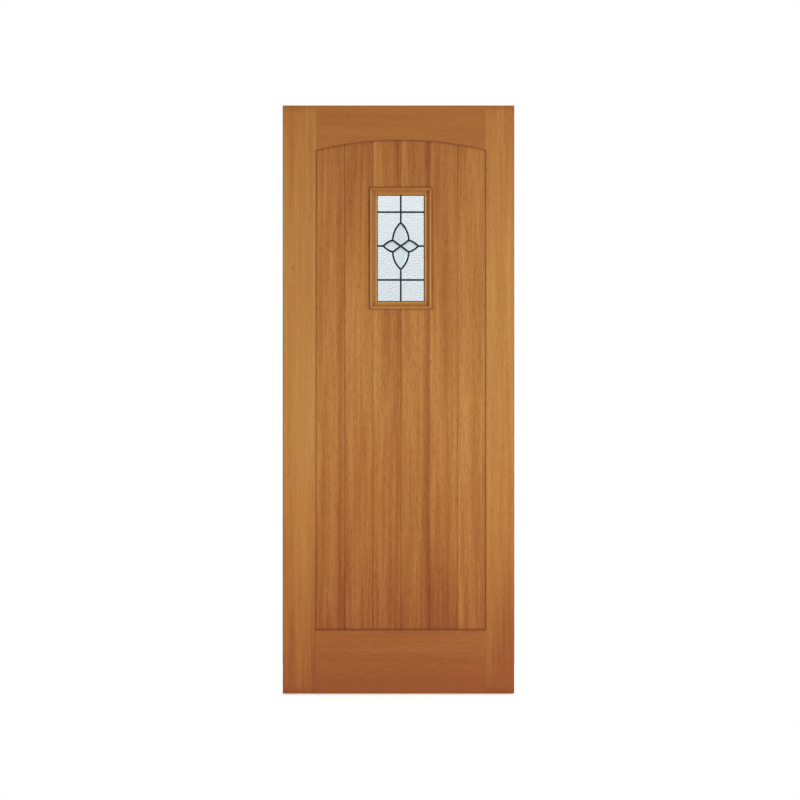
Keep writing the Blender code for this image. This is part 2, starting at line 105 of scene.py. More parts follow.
HALF_HEIGHT = LEAF_HEIGHT / 2
FRAME_FACE = LEAF_THICKNESS / 2
BOARD_FACE = FRAME_FACE - BOARD_RECESS
PANEL_LEFT = HANGING_STILE_WIDTH
PANEL_RIGHT = PANEL_LEFT + BOARD_COUNT * BOARD_COVER
LEAF_WIDTH = PANEL_RIGHT + LOCK_STILE_WIDTH
PANEL_MIDDLE = (PANEL_LEFT + PANEL_RIGHT) / 2
PANEL_FOOT = BOTTOM_RAIL_DEPTH - HALF_HEIGHT
ARCH_CROWN = HALF_HEIGHT - TOP_RAIL_DEPTH
ARCH_HALF_SPAN = (PANEL_RIGHT - PANEL_LEFT) / 2
ARCH_RADIUS = (ARCH_HALF_SPAN**2 + ARCH_RISE**2) / (2 * ARCH_RISE)
ARCH_CENTRE = ARCH_CROWN - ARCH_RADIUS

print("panel between the stiles:", round(PANEL_LEFT, 4), "to", round(PANEL_RIGHT, 4))
print("arch radius:", round(ARCH_RADIUS, 4))

# %% Sizes of the light
LIGHT_FIRST_BOARD = 3
LIGHT_BOARD_COUNT = 2
SIGHT_HEIGHT = 0.3695
SIGHT_DROP = 0.3085
MOULDING_COVER = 0.0156
MOULDING_LAP = 0.0102
UNIT_THICKNESS = 0.024
UNIT_EDGE_GAP = 0.0025

APERTURE_LEFT = PANEL_LEFT + (LIGHT_FIRST_BOARD - 1) * BOARD_COVER
APERTURE_RIGHT = APERTURE_LEFT + LIGHT_BOARD_COUNT * BOARD_COVER
SIGHT_LEFT = APERTURE_LEFT + MOULDING_COVER
SIGHT_RIGHT = APERTURE_RIGHT - MOULDING_COVER
SIGHT_TOP = HALF_HEIGHT - SIGHT_DROP
SIGHT_FOOT = SIGHT_TOP - SIGHT_HEIGHT
APERTURE_TOP = SIGHT_TOP + MOULDING_COVER
APERTURE_FOOT = SIGHT_FOOT - MOULDING_COVER
MOULDING_WIDTH = MOULDING_COVER + MOULDING_LAP
GLASS_DEPTH = BOARD_FACE - UNIT_THICKNESS / 2

sight_in_mm = [round(1000 * size, 1) for size in (SIGHT_RIGHT - SIGHT_LEFT, SIGHT_HEIGHT)]
print("glass that shows, in mm:", sight_in_mm)

# %% [markdown]
# ## The camera
#
# The door was photographed square on, from far enough away that its edges stay parallel. A camera at hip
# height, level and in front of the middle of the leaf, gives the same view. Its distance follows from the
# scale: a picture 800 pixels wide that is to show 3.455 mm of the leaf in each pixel is 2.764 m wide there.

# %% Place the camera
PICTURE_PIXELS = 800
METRES_PER_PIXEL = 0.0034552
LENS, SENSOR = 135.0, 36.0
LEAF_CENTRE_PIXEL = (398.5, 399.5)

camera_data = bpy.data.cameras.new("camera")
camera_data.lens = LENS
camera_data.sensor_width = SENSOR
camera = bpy.data.objects.new("camera", camera_data)
bpy.context.scene.collection.objects.link(camera)
distance = PICTURE_PIXELS * METRES_PER_PIXEL * LENS / SENSOR
right_of_leaf = (PICTURE_PIXELS / 2 - LEAF_CENTRE_PIXEL[0]) * METRES_PER_PIXEL
below_leaf = (PICTURE_PIXELS / 2 - LEAF_CENTRE_PIXEL[1]) * METRES_PER_PIXEL
camera.location = (LEAF_WIDTH / 2 + right_of_leaf, -FRAME_FACE - distance, -below_leaf)
camera.rotation_euler = (math.pi / 2, 0.0, 0.0)
bpy.context.scene.camera = camera
print("camera stands", round(distance, 3), "m in front of the leaf")

# %% [markdown]
# ## Light and floor
#
# A white studio shows colour truly. The sky is plain white where it is looked at. Through the glass it gets a
# little greyer towards the ground, as a real view does, because a ripple in glass only shows when what lies
# behind isn't the same everywhere. As a light it is a softer grey, so the varnish doesn't look milky. A broad
# light from the right shows the mouldings and V-joints, a weaker one from the left opens their shadows, and a
# third one behind lights the inside face. The floor is a pale sheet just under the leaf, which glows a little
# so that its far edge doesn't show.
#
# Sky, floor and every finish are networks of shader nodes. A few short helpers make the nodes that come back
# again and again, so that what is special to each finish can be read in one place.

# %% Helpers for materials
WHITE = (1.0, 1.0, 1.0, 1.0)


def link(tree, source, target):
    """Joins an output socket to an input socket."""
    tree.links.new(source, target)


def grey(level):
    """A grey, which is also how a plain number travels through a colour ramp."""
    return (level, level, level, 1.0)


def new_material(name):
    """A material with a Principled shader: the material, its node tree and the shader."""
    material = bpy.data.materials.new(name)
    material.use_nodes = True
    tree = material.node_tree
    return material, tree, tree.nodes["Principled BSDF"]


def maths(tree, operation, *terms):
    """One sum on sockets and plain numbers, as a node. Gives its output."""
    node = tree.nodes.new("ShaderNodeMath")
    node.operation = operation
    for socket, term in zip(node.inputs, terms):
        if isinstance(term, float):
            socket.default_value = term
        else:
            link(tree, term, socket)
    return node.outputs[0]


def noise(tree, vector, scale, detail=2.0, roughness=0.5):
    """Smooth noise with so many bumps to a unit of the vector, or to the object's box if that is None."""
    node = tree.nodes.new("ShaderNodeTexNoise")
    node.inputs["Scale"].default_value = scale
    node.inputs["Detail"].default_value = detail
    node.inputs["Roughness"].default_value = roughness
    if vector is not None:
        link(tree, vector, node.inputs["Vector"])
    return node.outputs["Fac"]


def ramp(tree, value, *stops):
    """A ramp through stops of (position, colour)."""
    node = tree.nodes.new("ShaderNodeValToRGB")
    elements = node.color_ramp.elements
    while len(elements) < len(stops):
        elements.new(0.5)
    for element, (position, colour) in zip(elements, stops):
        element.position = position
        element.color = colour
    link(tree, value, node.inputs["Fac"])
    return node.outputs["Color"]


# %% Sky
SKY_LIGHT = 0.30
SKY_TINT = (1.0, 0.99, 0.97, 1.0)
GROUND_SEEN = 0.50
GROUND_BELOW, SKY_ABOVE = -0.10, 0.09
HORIZON_WAVES, HORIZON_SWING = 11.0, 0.30


def make_sky():
    """A white world: full white where it is looked at, greyer towards the ground where it is seen through
    glass, and greyer still as a light. Noise on the direction makes its horizon wave."""
    world = bpy.data.worlds.new("white_studio")
    world.use_nodes = True
    tree = world.node_tree
    tree.nodes.clear()
    path = tree.nodes.new("ShaderNodeLightPath").outputs
    direction = tree.nodes.new("ShaderNodeTexCoord").outputs["Generated"]
    upward = tree.nodes.new("ShaderNodeSeparateXYZ")
    shade = tree.nodes.new("ShaderNodeMapRange")
    light, white = (tree.nodes.new("ShaderNodeBackground") for _ in range(2))
    mix = tree.nodes.new("ShaderNodeMixShader")
    output = tree.nodes.new("ShaderNodeOutputWorld")
    light.inputs["Color"].default_value = SKY_TINT
    light.inputs["Strength"].default_value = SKY_LIGHT
    white.inputs["Color"].default_value = WHITE
    link(tree, direction, upward.inputs[0])
    waves = noise(tree, direction, HORIZON_WAVES)
    height = maths(tree, "MULTIPLY_ADD", waves, HORIZON_SWING, upward.outputs["Z"])
    shade.inputs["From Min"].default_value = GROUND_BELOW + HORIZON_SWING / 2
    shade.inputs["From Max"].default_value = SKY_ABOVE + HORIZON_SWING / 2
    shade.inputs["To Min"].default_value = GROUND_SEEN
    link(tree, height, shade.inputs["Value"])
    looked_at = path["Is Camera Ray"]
    link(tree, maths(tree, "MAXIMUM", looked_at, shade.outputs["Result"]), white.inputs["Strength"])
    link(tree, maths(tree, "MAXIMUM", looked_at, path["Is Transmission Ray"]), mix.inputs[0])
    link(tree, light.outputs[0], mix.inputs[1])
    link(tree, white.outputs[0], mix.inputs[2])
    link(tree, mix.outputs[0], output.inputs["Surface"])
    bpy.context.scene.world = world


make_sky()
print("world:", bpy.context.scene.world.name)

# %% Lights
LEAF_MIDDLE = (LEAF_WIDTH / 2, 0.0, 0.0)


def soft_light(name, place, size, watts):
    """A square area light at a place, turned towards the middle of the leaf."""
    data = bpy.data.lights.new(name, "AREA")
    data.shape = "SQUARE"
    data.size = size
    data.energy = watts
    light = bpy.data.objects.new(name, data)
    bpy.context.scene.collection.objects.link(light)
    light.location = place
    light.rotation_euler = (Vector(LEAF_MIDDLE) - Vector(place)).to_track_quat("-Z", "Y").to_euler()


soft_light("key_right", place=(3.1, -3.0, 0.6), size=2.6, watts=122)
soft_light("fill_left", place=(-2.3, -3.0, 0.9), size=2.6, watts=70)
soft_light("inside_face", place=(2.2, 3.4, 1.6), size=2.2, watts=120)
bpy.context.scene.view_settings.view_transform = "Standard"

# %% Floor
FLOOR_DROP = 0.004
FLOOR_SIZE = 2.4
FLOOR_GLOW = 0.45
FLOOR_GREYS = (0.93, 0.97)
FLOOR_MOTTLE = 3.0
FLOOR_ROUGHNESS = 0.9


def make_floor():
    """A pale floor: a flat sheet, centred under the leaf, with a faint mottle."""
    half = FLOOR_SIZE / 2
    corners = np.array([(-half, -half), (half, -half), (half, half), (-half, half)])
    points = np.c_[corners + LEAF_MIDDLE[:2], np.full(len(corners), -HALF_HEIGHT - FLOOR_DROP)]
    mesh = bpy.data.meshes.new("floor")
    mesh.from_pydata(points.tolist(), [], [(0, 1, 2, 3)])
    floor = bpy.data.objects.new("floor", mesh)
    bpy.context.scene.collection.objects.link(floor)
    material, tree, shader = new_material("pale_floor")
    dark, pale = FLOOR_GREYS
    mottle = ramp(tree, noise(tree, None, FLOOR_MOTTLE), (0.0, grey(dark)), (1.0, grey(pale)))
    link(tree, mottle, shader.inputs["Base Color"])
    shader.inputs["Roughness"].default_value = FLOOR_ROUGHNESS
    shader.inputs["Emission Color"].default_value = WHITE
    shader.inputs["Emission Strength"].default_value = FLOOR_GLOW
    mesh.materials.append(material)
    floor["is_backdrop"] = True
    print("floor:", FLOOR_SIZE, "m square,", round(1000 * FLOOR_DROP), "mm under the leaf")


make_floor()

# %% [markdown]
# ## Surfaces from whole arrays
#
# Nearly every piece of joinery is a section carried along a length: a stile, a board and a moulding all are.
# The section is an array of points, its sharp corners are rounded a little, as sandpaper does, its long sides
# are divided so that a finish can change across them, and then it is copied along the length as rings.
# Working on whole arrays keeps this short and quick: no loop ever visits a single vertex.

# %% Helpers for sections
CORNER_STEPS = 4
FACE_SPACING = 0.0035
LENGTH_SPACING = 0.028
NO_LENGTH = 1e-9


def soften(sections, radius):
    """Rounds the corners of closed sections, an array of shape (sections, corners, 2). A and B lie on the two
    sides of a corner P, a radius away from it or half a side if that is less. The corner becomes the curve
    (1 - s)^2 A + 2 s (1 - s) P + s^2 B, with s from 0 to 1."""
    radius = np.broadcast_to(radius, sections.shape[:2])[..., None]

    def towards(neighbour):
        side = neighbour - sections
        length = np.linalg.norm(side, axis=-1, keepdims=True)
        return sections + side * np.minimum(radius, length / 2) / np.maximum(length, NO_LENGTH)

    a = towards(np.roll(sections, 1, axis=1))[:, :, None]
    b = towards(np.roll(sections, -1, axis=1))[:, :, None]
    s = np.linspace(0.0, 1.0, CORNER_STEPS + 1)[:, None]
    curve = (1 - s) ** 2 * a + 2 * s * (1 - s) * sections[:, :, None] + s**2 * b
    return curve.reshape(len(sections), -1, 2)


def divide(sections, spacing=FACE_SPACING):
    """Divides the sides of closed sections: a side longer than the spacing gets evenly spaced points between
    its ends P and Q, at (1 - f) P + f Q."""
    following = np.roll(sections, -1, axis=1)
    lengths = np.linalg.norm(following - sections, axis=-1).max(axis=0)
    counts = np.maximum(1, np.ceil(lengths / spacing)).astype(int)
    side = np.repeat(np.arange(len(counts)), counts)
    share = np.concatenate([np.arange(count) / count for count in counts])[:, None]
    return (1 - share) * sections[:, side] + share * following[:, side]


def stations(*marks, spacing=LENGTH_SPACING):
    """Places along a length: the marks, which are in order, and evenly spaced ones between them."""
    runs = [np.linspace(a, b, max(2, math.ceil((b - a) / spacing) + 1)) for a, b in zip(marks, marks[1:])]
    return np.unique(np.concatenate(runs))


def strip_faces(rows, around, first=0):
    """Four-sided faces between rows of points that run round a closed outline. first is the first point."""
    index = first + np.arange(rows * around).reshape(rows, around)
    turned = np.roll(index, -1, axis=1)
    return np.stack([index[:-1], turned[:-1], turned[1:], index[1:]], axis=-1).reshape(-1, 4).tolist()


def carried(rings):
    """A closed skin through rings, an array of shape (rings, points, 3): four-sided faces from each ring to
    the next, and one flat face over each end."""
    count, around = rings.shape[:2]
    index = np.arange(count * around)
    caps = [index[:around][::-1].tolist(), index[-around:].tolist()]
    return rings.reshape(-1, 3), strip_faces(count, around) + caps


square = np.array([[(0.0, 0.0), (1.0, 0.0), (1.0, 1.0), (0.0, 1.0)]])
print("a square has 4 corners, and with rounded ones it has", soften(square, 0.1).shape[1], "points")

# %% Helpers for pieces
WELD = 2e-6
SMOOTH_BELOW = math.radians(40)


def new_piece(name, points, faces, nodes, slot, smooth=SMOOTH_BELOW):
    """Makes a closed piece in place of CAD nodes, with its doubles welded and its faces outwards."""
    mesh = bpy.data.meshes.new(name)
    mesh.from_pydata(points.tolist(), [], faces)
    bm = bmesh.new()
    bm.from_mesh(mesh)
    bmesh.ops.remove_doubles(bm, verts=bm.verts, dist=WELD)
    bmesh.ops.dissolve_degenerate(bm, edges=bm.edges, dist=WELD)
    bmesh.ops.recalc_face_normals(bm, faces=bm.faces)
    open_edges = sum(1 for edge in bm.edges if len(edge.link_faces) != 2)
    bm.to_mesh(mesh)
    bm.free()
    mesh.shade_smooth()
    mesh.set_sharp_from_angle(angle=smooth)
    piece = bpy.data.objects.new(name, mesh)
    bpy.context.scene.collection.objects.link(piece)
    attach(piece, "root")
    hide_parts(*nodes)
    print(f"{name}: {len(mesh.polygons)} faces, {open_edges} open edges")
    return piece


def vertex_places(piece):
    """The places of a piece's vertices, as an array of shape (vertices, 3)."""
    places = np.empty(len(piece.data.vertices) * 3, np.float32)
    piece.data.vertices.foreach_get("co", places)
    return places.reshape(-1, 3).astype(float)


def set_attribute(piece, name, kind, values):
    """Stores a number or a vector for each vertex, for the material to read."""
    attribute = piece.data.attributes.new(name, kind, "POINT")
    key = "value" if kind == "FLOAT" else "vector"
    attribute.data.foreach_set(key, np.ascontiguousarray(values, np.float32).ravel())


# %% [markdown]
# ## The wood finish
#
# The wood is a straight-grained tropical hardwood under an orange-brown stain and a satin varnish. Its grain
# runs along each piece, so upright pieces and rails can't share one pattern: each piece carries a grain
# coordinate whose third number runs along its own length, with a shift of its own, because no two boards are
# cut from the same place. Five layers are stretched along that length: wide bands of lighter and redder wood,
# streaks about a finger apart, fine flecks, short dark pores and the finest fibres. Stiles, rails, boards and
# mouldings are four woods that differ in how strong these layers are, and the rails are the quietest.
#
# A second number, the warmth, moves a place between red-brown and gold. It is lowered towards the head and the
# foot of this door, which is painted shade for light that falls off there. It is raised on the V-joints'
# chamfers and on the mouldings' beads, which is painted light. A third, the soak, darkens the joints and quirks,
# where stain collects. On and round the mouldings it carries painted shade and a painted shadow instead.

# %% Wood material
WOOD_DARK = (0.232, 0.062, 0.012, 1.0)
WOOD_MIDDLE = (0.365, 0.140, 0.029, 1.0)
WOOD_LIGHT = (0.485, 0.245, 0.062, 1.0)
SOAK_AND_SHADE_TINT = (0.58, 0.36, 0.27, 1.0)
PORE = (0.52, 0.42, 0.36, 1.0)
LAYERS = {
    "bands": (17.0, 0.9, 2.0),
    "streaks": (85.0, 2.4, 3.0),
    "flecks": (330.0, 24.0, 3.0),
    "pores": (800.0, 45.0, 1.0),
    "fibres": (2600.0, 60.0, 2.0),
}
LAYER_ROUGHNESS = 0.55
SEED_SHIFT = (3.7, 1.9, 5.3)
FIBRE_WEIGHT = 0.18
PORE_STARTS, PORE_ENDS = 0.60, 0.70
SHEEN_STARTS, SHEEN_ENDS, SHEEN_CHANGE = 0.3, 0.7, 0.1
VARNISH_SHINE = 0.22
FIBRE_BUMP, FIBRE_RELIEF = 0.35, 0.00015


def stretched_noise(tree, grain, layer, seed):
    """A layer's noise on the grain coordinate: bumps a metre across and along the grain, and their detail."""
    across, along, detail = LAYERS[layer]
    mapping = tree.nodes.new("ShaderNodeMapping")
    mapping.inputs["Scale"].default_value = (across, across, along)
    mapping.inputs["Location"].default_value = [seed * shift for shift in SEED_SHIFT]
    link(tree, grain, mapping.inputs["Vector"])
    return noise(tree, mapping.outputs["Vector"], 1.0, detail, LAYER_ROUGHNESS)


def weighted(tree, value, weight, total):
    """total + weight * (value - 0.5), as nodes."""
    return maths(tree, "MULTIPLY_ADD", maths(tree, "SUBTRACT", value, 0.5), weight, total)


def attribute_output(tree, name, output):
    """What the material reads of a piece's attribute."""
    node = tree.nodes.new("ShaderNodeAttribute")
    node.attribute_name = name
    return node.outputs[output]


def multiplied(tree, colour, factor, tint):
    """colour, multiplied by tint as far as factor says."""
    mix = tree.nodes.new("ShaderNodeMix")
    mix.data_type = "RGBA"
    mix.blend_type = "MULTIPLY"
    mix.inputs["B"].default_value = tint
    link(tree, factor, mix.inputs["Factor"])
    link(tree, colour, mix.inputs["A"])
    return mix.outputs["Result"]


def add_bump(tree, height, strength, distance):
    """Lets a pattern stand out from a surface."""
    bump = tree.nodes.new("ShaderNodeBump")
    bump.inputs["Strength"].default_value = strength
    bump.inputs["Distance"].default_value = distance
    link(tree, height, bump.inputs["Height"])
    link(tree, bump.outputs["Normal"], tree.nodes["Principled BSDF"].inputs["Normal"])


def make_wood(name, seed, bands, streaks, flecks, pores, roughness):
    """A stained and varnished wood. bands, streaks, flecks and pores say how strong its layers are."""
    material, tree, shader = new_material(name)
    grain = attribute_output(tree, "grain", "Vector")
    layers = {layer: stretched_noise(tree, grain, layer, seed + step) for step, layer in enumerate(LAYERS)}
    total = attribute_output(tree, "warmth", "Fac")
    weights = {"bands": bands, "streaks": streaks, "flecks": flecks, "fibres": FIBRE_WEIGHT}
    for layer, weight in weights.items():
        total = weighted(tree, layers[layer], weight, total)
    colour = ramp(tree, total, (0.0, WOOD_DARK), (0.5, WOOD_MIDDLE), (1.0, WOOD_LIGHT))
    pits = ramp(tree, layers["pores"], (PORE_STARTS, grey(0.0)), (PORE_ENDS, grey(pores)))
    colour = multiplied(tree, colour, pits, PORE)
    # The soak darkens joints where stain collects. On and round the mouldings it also carries painted shade and
    # a painted shadow.
    colour = multiplied(tree, colour, attribute_output(tree, "soak", "Fac"), SOAK_AND_SHADE_TINT)
    link(tree, colour, shader.inputs["Base Color"])
    sheen = ((SHEEN_STARTS, grey(roughness)), (SHEEN_ENDS, grey(roughness + SHEEN_CHANGE)))
    link(tree, ramp(tree, layers["streaks"], *sheen), shader.inputs["Roughness"])
    shader.inputs["Specular IOR Level"].default_value = VARNISH_SHINE
    add_bump(tree, maths(tree, "SUBTRACT", layers["fibres"], pits), FIBRE_BUMP, FIBRE_RELIEF)
    return material


STILE_WOOD = make_wood("stained_stile_wood", seed=1.0,
                       bands=0.75, streaks=0.45, flecks=0.30, pores=0.5, roughness=0.40)
RAIL_WOOD = make_wood("stained_rail_wood", seed=1.0,
                      bands=0.30, streaks=0.20, flecks=0.30, pores=0.5, roughness=0.40)
BOARD_WOOD = make_wood("stained_board_wood", seed=7.0,
                       bands=0.75, streaks=0.75, flecks=0.50, pores=0.8, roughness=0.42)
MOULDING_WOOD = make_wood("stained_moulding_wood", seed=13.0,
                          bands=0.75, streaks=0.40, flecks=0.25, pores=0.4, roughness=0.36)
print("woods:", STILE_WOOD.name, RAIL_WOOD.name, BOARD_WOOD.name, MOULDING_WOOD.name)

# %% Dress a piece in wood
# Painted shade: the wood gets darker and redder towards the head, and more so towards the foot, as if less light
# reached there.
HEAD_PAINTED_SHADE = 0.27
FOOT_PAINTED_SHADE = 0.80
LOSS_POWER = 1.6
SHIFT_STEP = (0.618, 0.377, 1.213)
EDGE_SOAK, EDGE_SOAK_WIDTH = 0.5, 0.0025
LARGEST_POWER = 30.0
dressed = []


def painted_height_shade(z):
    """How much darker and redder the wood is painted at a height. This is painted shade for light that falls off
    towards the head and the foot: nothing at mid height, growing as a power of the distance.
    """
    share = np.abs(z) / HALF_HEIGHT
    return -np.where(z > 0, HEAD_PAINTED_SHADE, FOOT_PAINTED_SHADE) * share**LOSS_POWER


def dress(piece, wood, grain, warmth, soak):
    """Gives a piece its wood: the grain coordinate and its shift, the warmth and the soak."""
    piece.data.materials.append(wood)
    set_attribute(piece, "grain", "FLOAT_VECTOR", grain + len(dressed) * np.array(SHIFT_STEP))
    set_attribute(piece, "warmth", "FLOAT", warmth)
    set_attribute(piece, "soak", "FLOAT", np.clip(soak, 0.0, 1.0))
    dressed.append(piece.name)


def near(value, place, width):
    """1 at a place, falling off like a bell to about a third one width away."""
    return np.exp(-(((value - place) / width) ** 2))


def gradual(value, place, width):
    """0 well below a place and 1 well above it: 1 / (1 + exp(-(value - place) / width))."""
    return 1 / (1 + np.exp(-np.clip((value - place) / width, -LARGEST_POWER, LARGEST_POWER)))


def outer_edge_soak(places):
    """The dark line round the leaf's own edge, a couple of millimetres wide."""
    to_side = np.minimum(places[:, 0], LEAF_WIDTH - places[:, 0])
    to_end = HALF_HEIGHT - np.abs(places[:, 2])
    return EDGE_SOAK * near(np.minimum(to_side, to_end), 0.0, EDGE_SOAK_WIDTH)


# %% [markdown]
# ## The stiles
#
# A stile is one long stick. It is grooved on its inner edge for the boards, and the arris beside the boards
# is chamfered, but only between the bottom rail and the spring of the arch, where the chamfer turns the
# corner into the rail's own. A chamfer that stops could be cut with a Boolean. Here it is a number that
# changes along the stick: the section is the same everywhere, and only the chamfer's size t and the groove's
# depth g depend on the height.
#
# The stain makes the two stiles differ. The one at the hanging edge has a dark fleck, level with the light,
# and both are redder near the foot, towards their right side.

# %% Make the stiles
ARRIS = 0.0004
STEP = 0.00001
EASING_SHARES = (0.0, 0.1, 0.3, 0.6, 1.0)
GROOVE_SIDE = HALF_TONGUE + JOINT_GAP
FLECK_X, FLECK_Z = 0.0360, 0.4560
FLECK_WIDTH, FLECK_LENGTH = 0.003, 0.009
FLECK_MARKS = np.linspace(-0.02, 0.02, 9)
STILE_QUIRK_WIDTH = 0.0032
PATCH_SIDE_BLUR, PATCH_TOP_BLUR = 0.004, 0.018


def arch(x, outwards=0.0):
    """The height of the arch at x, moved outwards: centre + sqrt(radius^2 - distance from the middle^2)."""
    return ARCH_CENTRE + np.sqrt((ARCH_RADIUS + outwards) ** 2 - (x - PANEL_MIDDLE) ** 2)


def drawn_in(to_end):
    """How far a rounded end draws a stick's section in, d from its end: r - sqrt(r^2 - (r - d)^2)."""
    reach = np.clip(LEAF_EDGE_EASING - to_end, 0.0, LEAF_EDGE_EASING)
    return LEAF_EDGE_EASING - np.sqrt(LEAF_EDGE_EASING**2 - reach**2)


def easing_marks(end, direction):
    """Places close together over the rounded end of a stick."""
    return [end + direction * LEAF_EDGE_EASING * share for share in EASING_SHARES]


def make_stile(name, node, inner, direction, width, tone, quirk, patch, fleck):
    """A stile. Its section is measured outwards from its inner edge, and then placed at either side. quirk is
    the soak beside the panel, patch the x, the drop and the strength of its redder lower corner, and fleck
    the strength of its dark fleck."""
    arch_foot = arch(PANEL_LEFT)
    arch_stop = arch(PANEL_LEFT - FRAME_CHAMFER, FRAME_CHAMFER)
    groove_foot = PANEL_FOOT - GROOVE_DEPTH
    groove_head = arch(PANEL_LEFT - GROOVE_DEPTH, GROOVE_DEPTH)
    z = stations(*easing_marks(-HALF_HEIGHT, 1), groove_foot, groove_foot + STEP, PANEL_FOOT - FRAME_CHAMFER,
                 PANEL_FOOT, arch_foot, arch_stop, groove_head, groove_head + STEP,
                 *easing_marks(HALF_HEIGHT, -1)[::-1])
    z = np.union1d(z, FLECK_Z + FLECK_MARKS)
    below = np.clip(z - (PANEL_FOOT - FRAME_CHAMFER), 0.0, FRAME_CHAMFER)
    above = np.clip((arch_stop - z) / (arch_stop - arch_foot), 0.0, 1.0) * FRAME_CHAMFER
    t = np.minimum(below, above)
    g = np.where((z > groove_foot + STEP / 2) & (z < groove_head + STEP / 2), GROOVE_DEPTH, 0.0)
    flat = np.ones_like(z)
    half = [
        (width * flat, FRAME_FACE * flat),
        (FRAME_CHAMFER * flat, FRAME_FACE * flat),
        (FRAME_CHAMFER - t, FRAME_FACE - t),
        (0.0 * flat, FRAME_FACE - t),
        (0.0 * flat, GROOVE_SIDE * flat),
        (g, GROOVE_SIDE * flat),
    ]
    outside = np.array([(s, -y) for s, y in half]).transpose(2, 0, 1)
    inside = np.array(half[::-1]).transpose(2, 0, 1)
    radii = [LEAF_EDGE_EASING, ARRIS, 0.0, 0.0, 0.0, 0.0]
    sections = divide(soften(np.concatenate([outside, inside], axis=1), radii + radii[::-1]))
    drawn = drawn_in(HALF_HEIGHT - np.abs(z))[:, None]
    s = np.minimum(sections[..., 0], width - drawn)
    y = np.clip(sections[..., 1], drawn - FRAME_FACE, FRAME_FACE - drawn)
    rings = np.stack([inner + direction * s, y, np.broadcast_to(z[:, None], s.shape)], axis=-1)
    stile = new_piece(name, *carried(rings), [node], "frame_wood")
    places = vertex_places(stile)
    from_panel = direction * (places[:, 0] - inner)
    in_panel = (places[:, 2] > PANEL_FOOT - FRAME_CHAMFER) & (places[:, 2] < arch_stop)
    soak = outer_edge_soak(places) + quirk * in_panel * near(from_panel, 0.0, STILE_QUIRK_WIDTH)
    soak += fleck * near(places[:, 0], FLECK_X, FLECK_WIDTH) * near(places[:, 2], FLECK_Z, FLECK_LENGTH)
    from_x, drop, strength = patch
    reddened = gradual(places[:, 0], from_x, PATCH_SIDE_BLUR) * gradual(-places[:, 2], drop, PATCH_TOP_BLUR)
    dress(stile, STILE_WOOD, places, tone + painted_height_shade(places[:, 2]) - strength * reddened, soak)


make_stile("hanging_stile", "stile_hanging", PANEL_LEFT, -1, HANGING_STILE_WIDTH,
           tone=0.80, quirk=0.45, patch=(0.100, 0.50, 0.12), fleck=0.8)
make_stile("lock_stile", "stile_lock", PANEL_RIGHT, 1, LOCK_STILE_WIDTH,
           tone=0.76, quirk=0.20, patch=(0.737, 0.60, 0.07), fleck=0.0)

# %% [markdown]
# ## The rails
#
# The rails lie between the stiles, with their grain running across the door. The bottom rail is deep and
# straight. The top rail's lower edge follows the arch, and its chamfer and groove follow with it. Both are
# sections in the YZ plane that are carried along X, and the arch only changes the height of their lower
# points.
#
# The solids keep a small clearance between neighbours. On the real door the joints are tight and the varnish
# closes them, so the seen pieces come closer to each other.

# %% Make the rails
SEEN_GAP = 0.00005
RAIL_SPACING = 0.009
RAIL_QUIRK, RAIL_QUIRK_WIDTH = 0.6, 0.0035


def make_rail(name, node, inner_edge, outer_end, tone):
    """A rail. inner_edge(x, outwards) is the height of its edge beside the boards, and outwards leads into
    the rail. outer_end is the height of the leaf's end that it makes."""
    direction = 1 if outer_end > 0 else -1
    x = stations(PANEL_LEFT + SEEN_GAP, PANEL_RIGHT - SEEN_GAP, spacing=RAIL_SPACING)
    flat = np.ones_like(x)
    half = [
        (FRAME_FACE * flat, outer_end * flat),
        (FRAME_FACE * flat, inner_edge(x, FRAME_CHAMFER)),
        (BOARD_FACE * flat, inner_edge(x, 0.0)),
        (GROOVE_SIDE * flat, inner_edge(x, 0.0)),
        (GROOVE_SIDE * flat, inner_edge(x, GROOVE_DEPTH)),
    ]
    outside = np.array([(-y, z) for y, z in half]).transpose(2, 0, 1)
    inside = np.array(half[::-1]).transpose(2, 0, 1)
    radii = [LEAF_EDGE_EASING, ARRIS, 0.0, 0.0, 0.0]
    sections = divide(soften(np.concatenate([outside, inside], axis=1), radii + radii[::-1]))
    across = np.broadcast_to(x[:, None], sections.shape[:2])
    rings = np.stack([across, sections[..., 0], sections[..., 1]], axis=-1)
    rail = new_piece(name, *carried(rings), [node], "frame_wood")
    places = vertex_places(rail)
    to_panel = direction * (places[:, 2] - inner_edge(places[:, 0], 0.0))
    soak = outer_edge_soak(places) + RAIL_QUIRK * near(to_panel, 0.0, RAIL_QUIRK_WIDTH)
    grain = places[:, [1, 2, 0]]
    dress(rail, RAIL_WOOD, grain, tone + painted_height_shade(places[:, 2]), soak)


def foot_edge(x, outwards):
    """The straight edge of the bottom rail, moved outwards, which is down."""
    return np.full_like(x, PANEL_FOOT) - outwards


make_rail("arched_rail", "rail_top", arch, HALF_HEIGHT, tone=0.62)
make_rail("deep_rail", "rail_bottom", foot_edge, -HALF_HEIGHT, tone=0.74)

# %% [markdown]
# ## The boards
#
# Six boards fill the frame. Each has a tongue on its right and a groove on its left, and its four arrises are
# chamfered, so that two neighbours make a V-joint. The board's section is drawn once and carried upwards. At
# both ends the section steps in to a thin tongue, which enters the frame's groove.
#
# The upper end follows the arch: its height is not one number but the arch's height at each point's own x. The
# rings are level up to just above the light, and from there they bend little by little until the last one is the
# arch. The two boards beside the light would reach into its opening with a tongue or an edge, so their outline
# is cut back between two pairs of rings that lie close together. A Boolean could cut that too, but it can leave
# open edges. Redder stripes run up the boards, each with its x, its width and its strength, and every board has
# a tone of its own.

# %% Board sections
BOARD_ARRIS = 0.0007


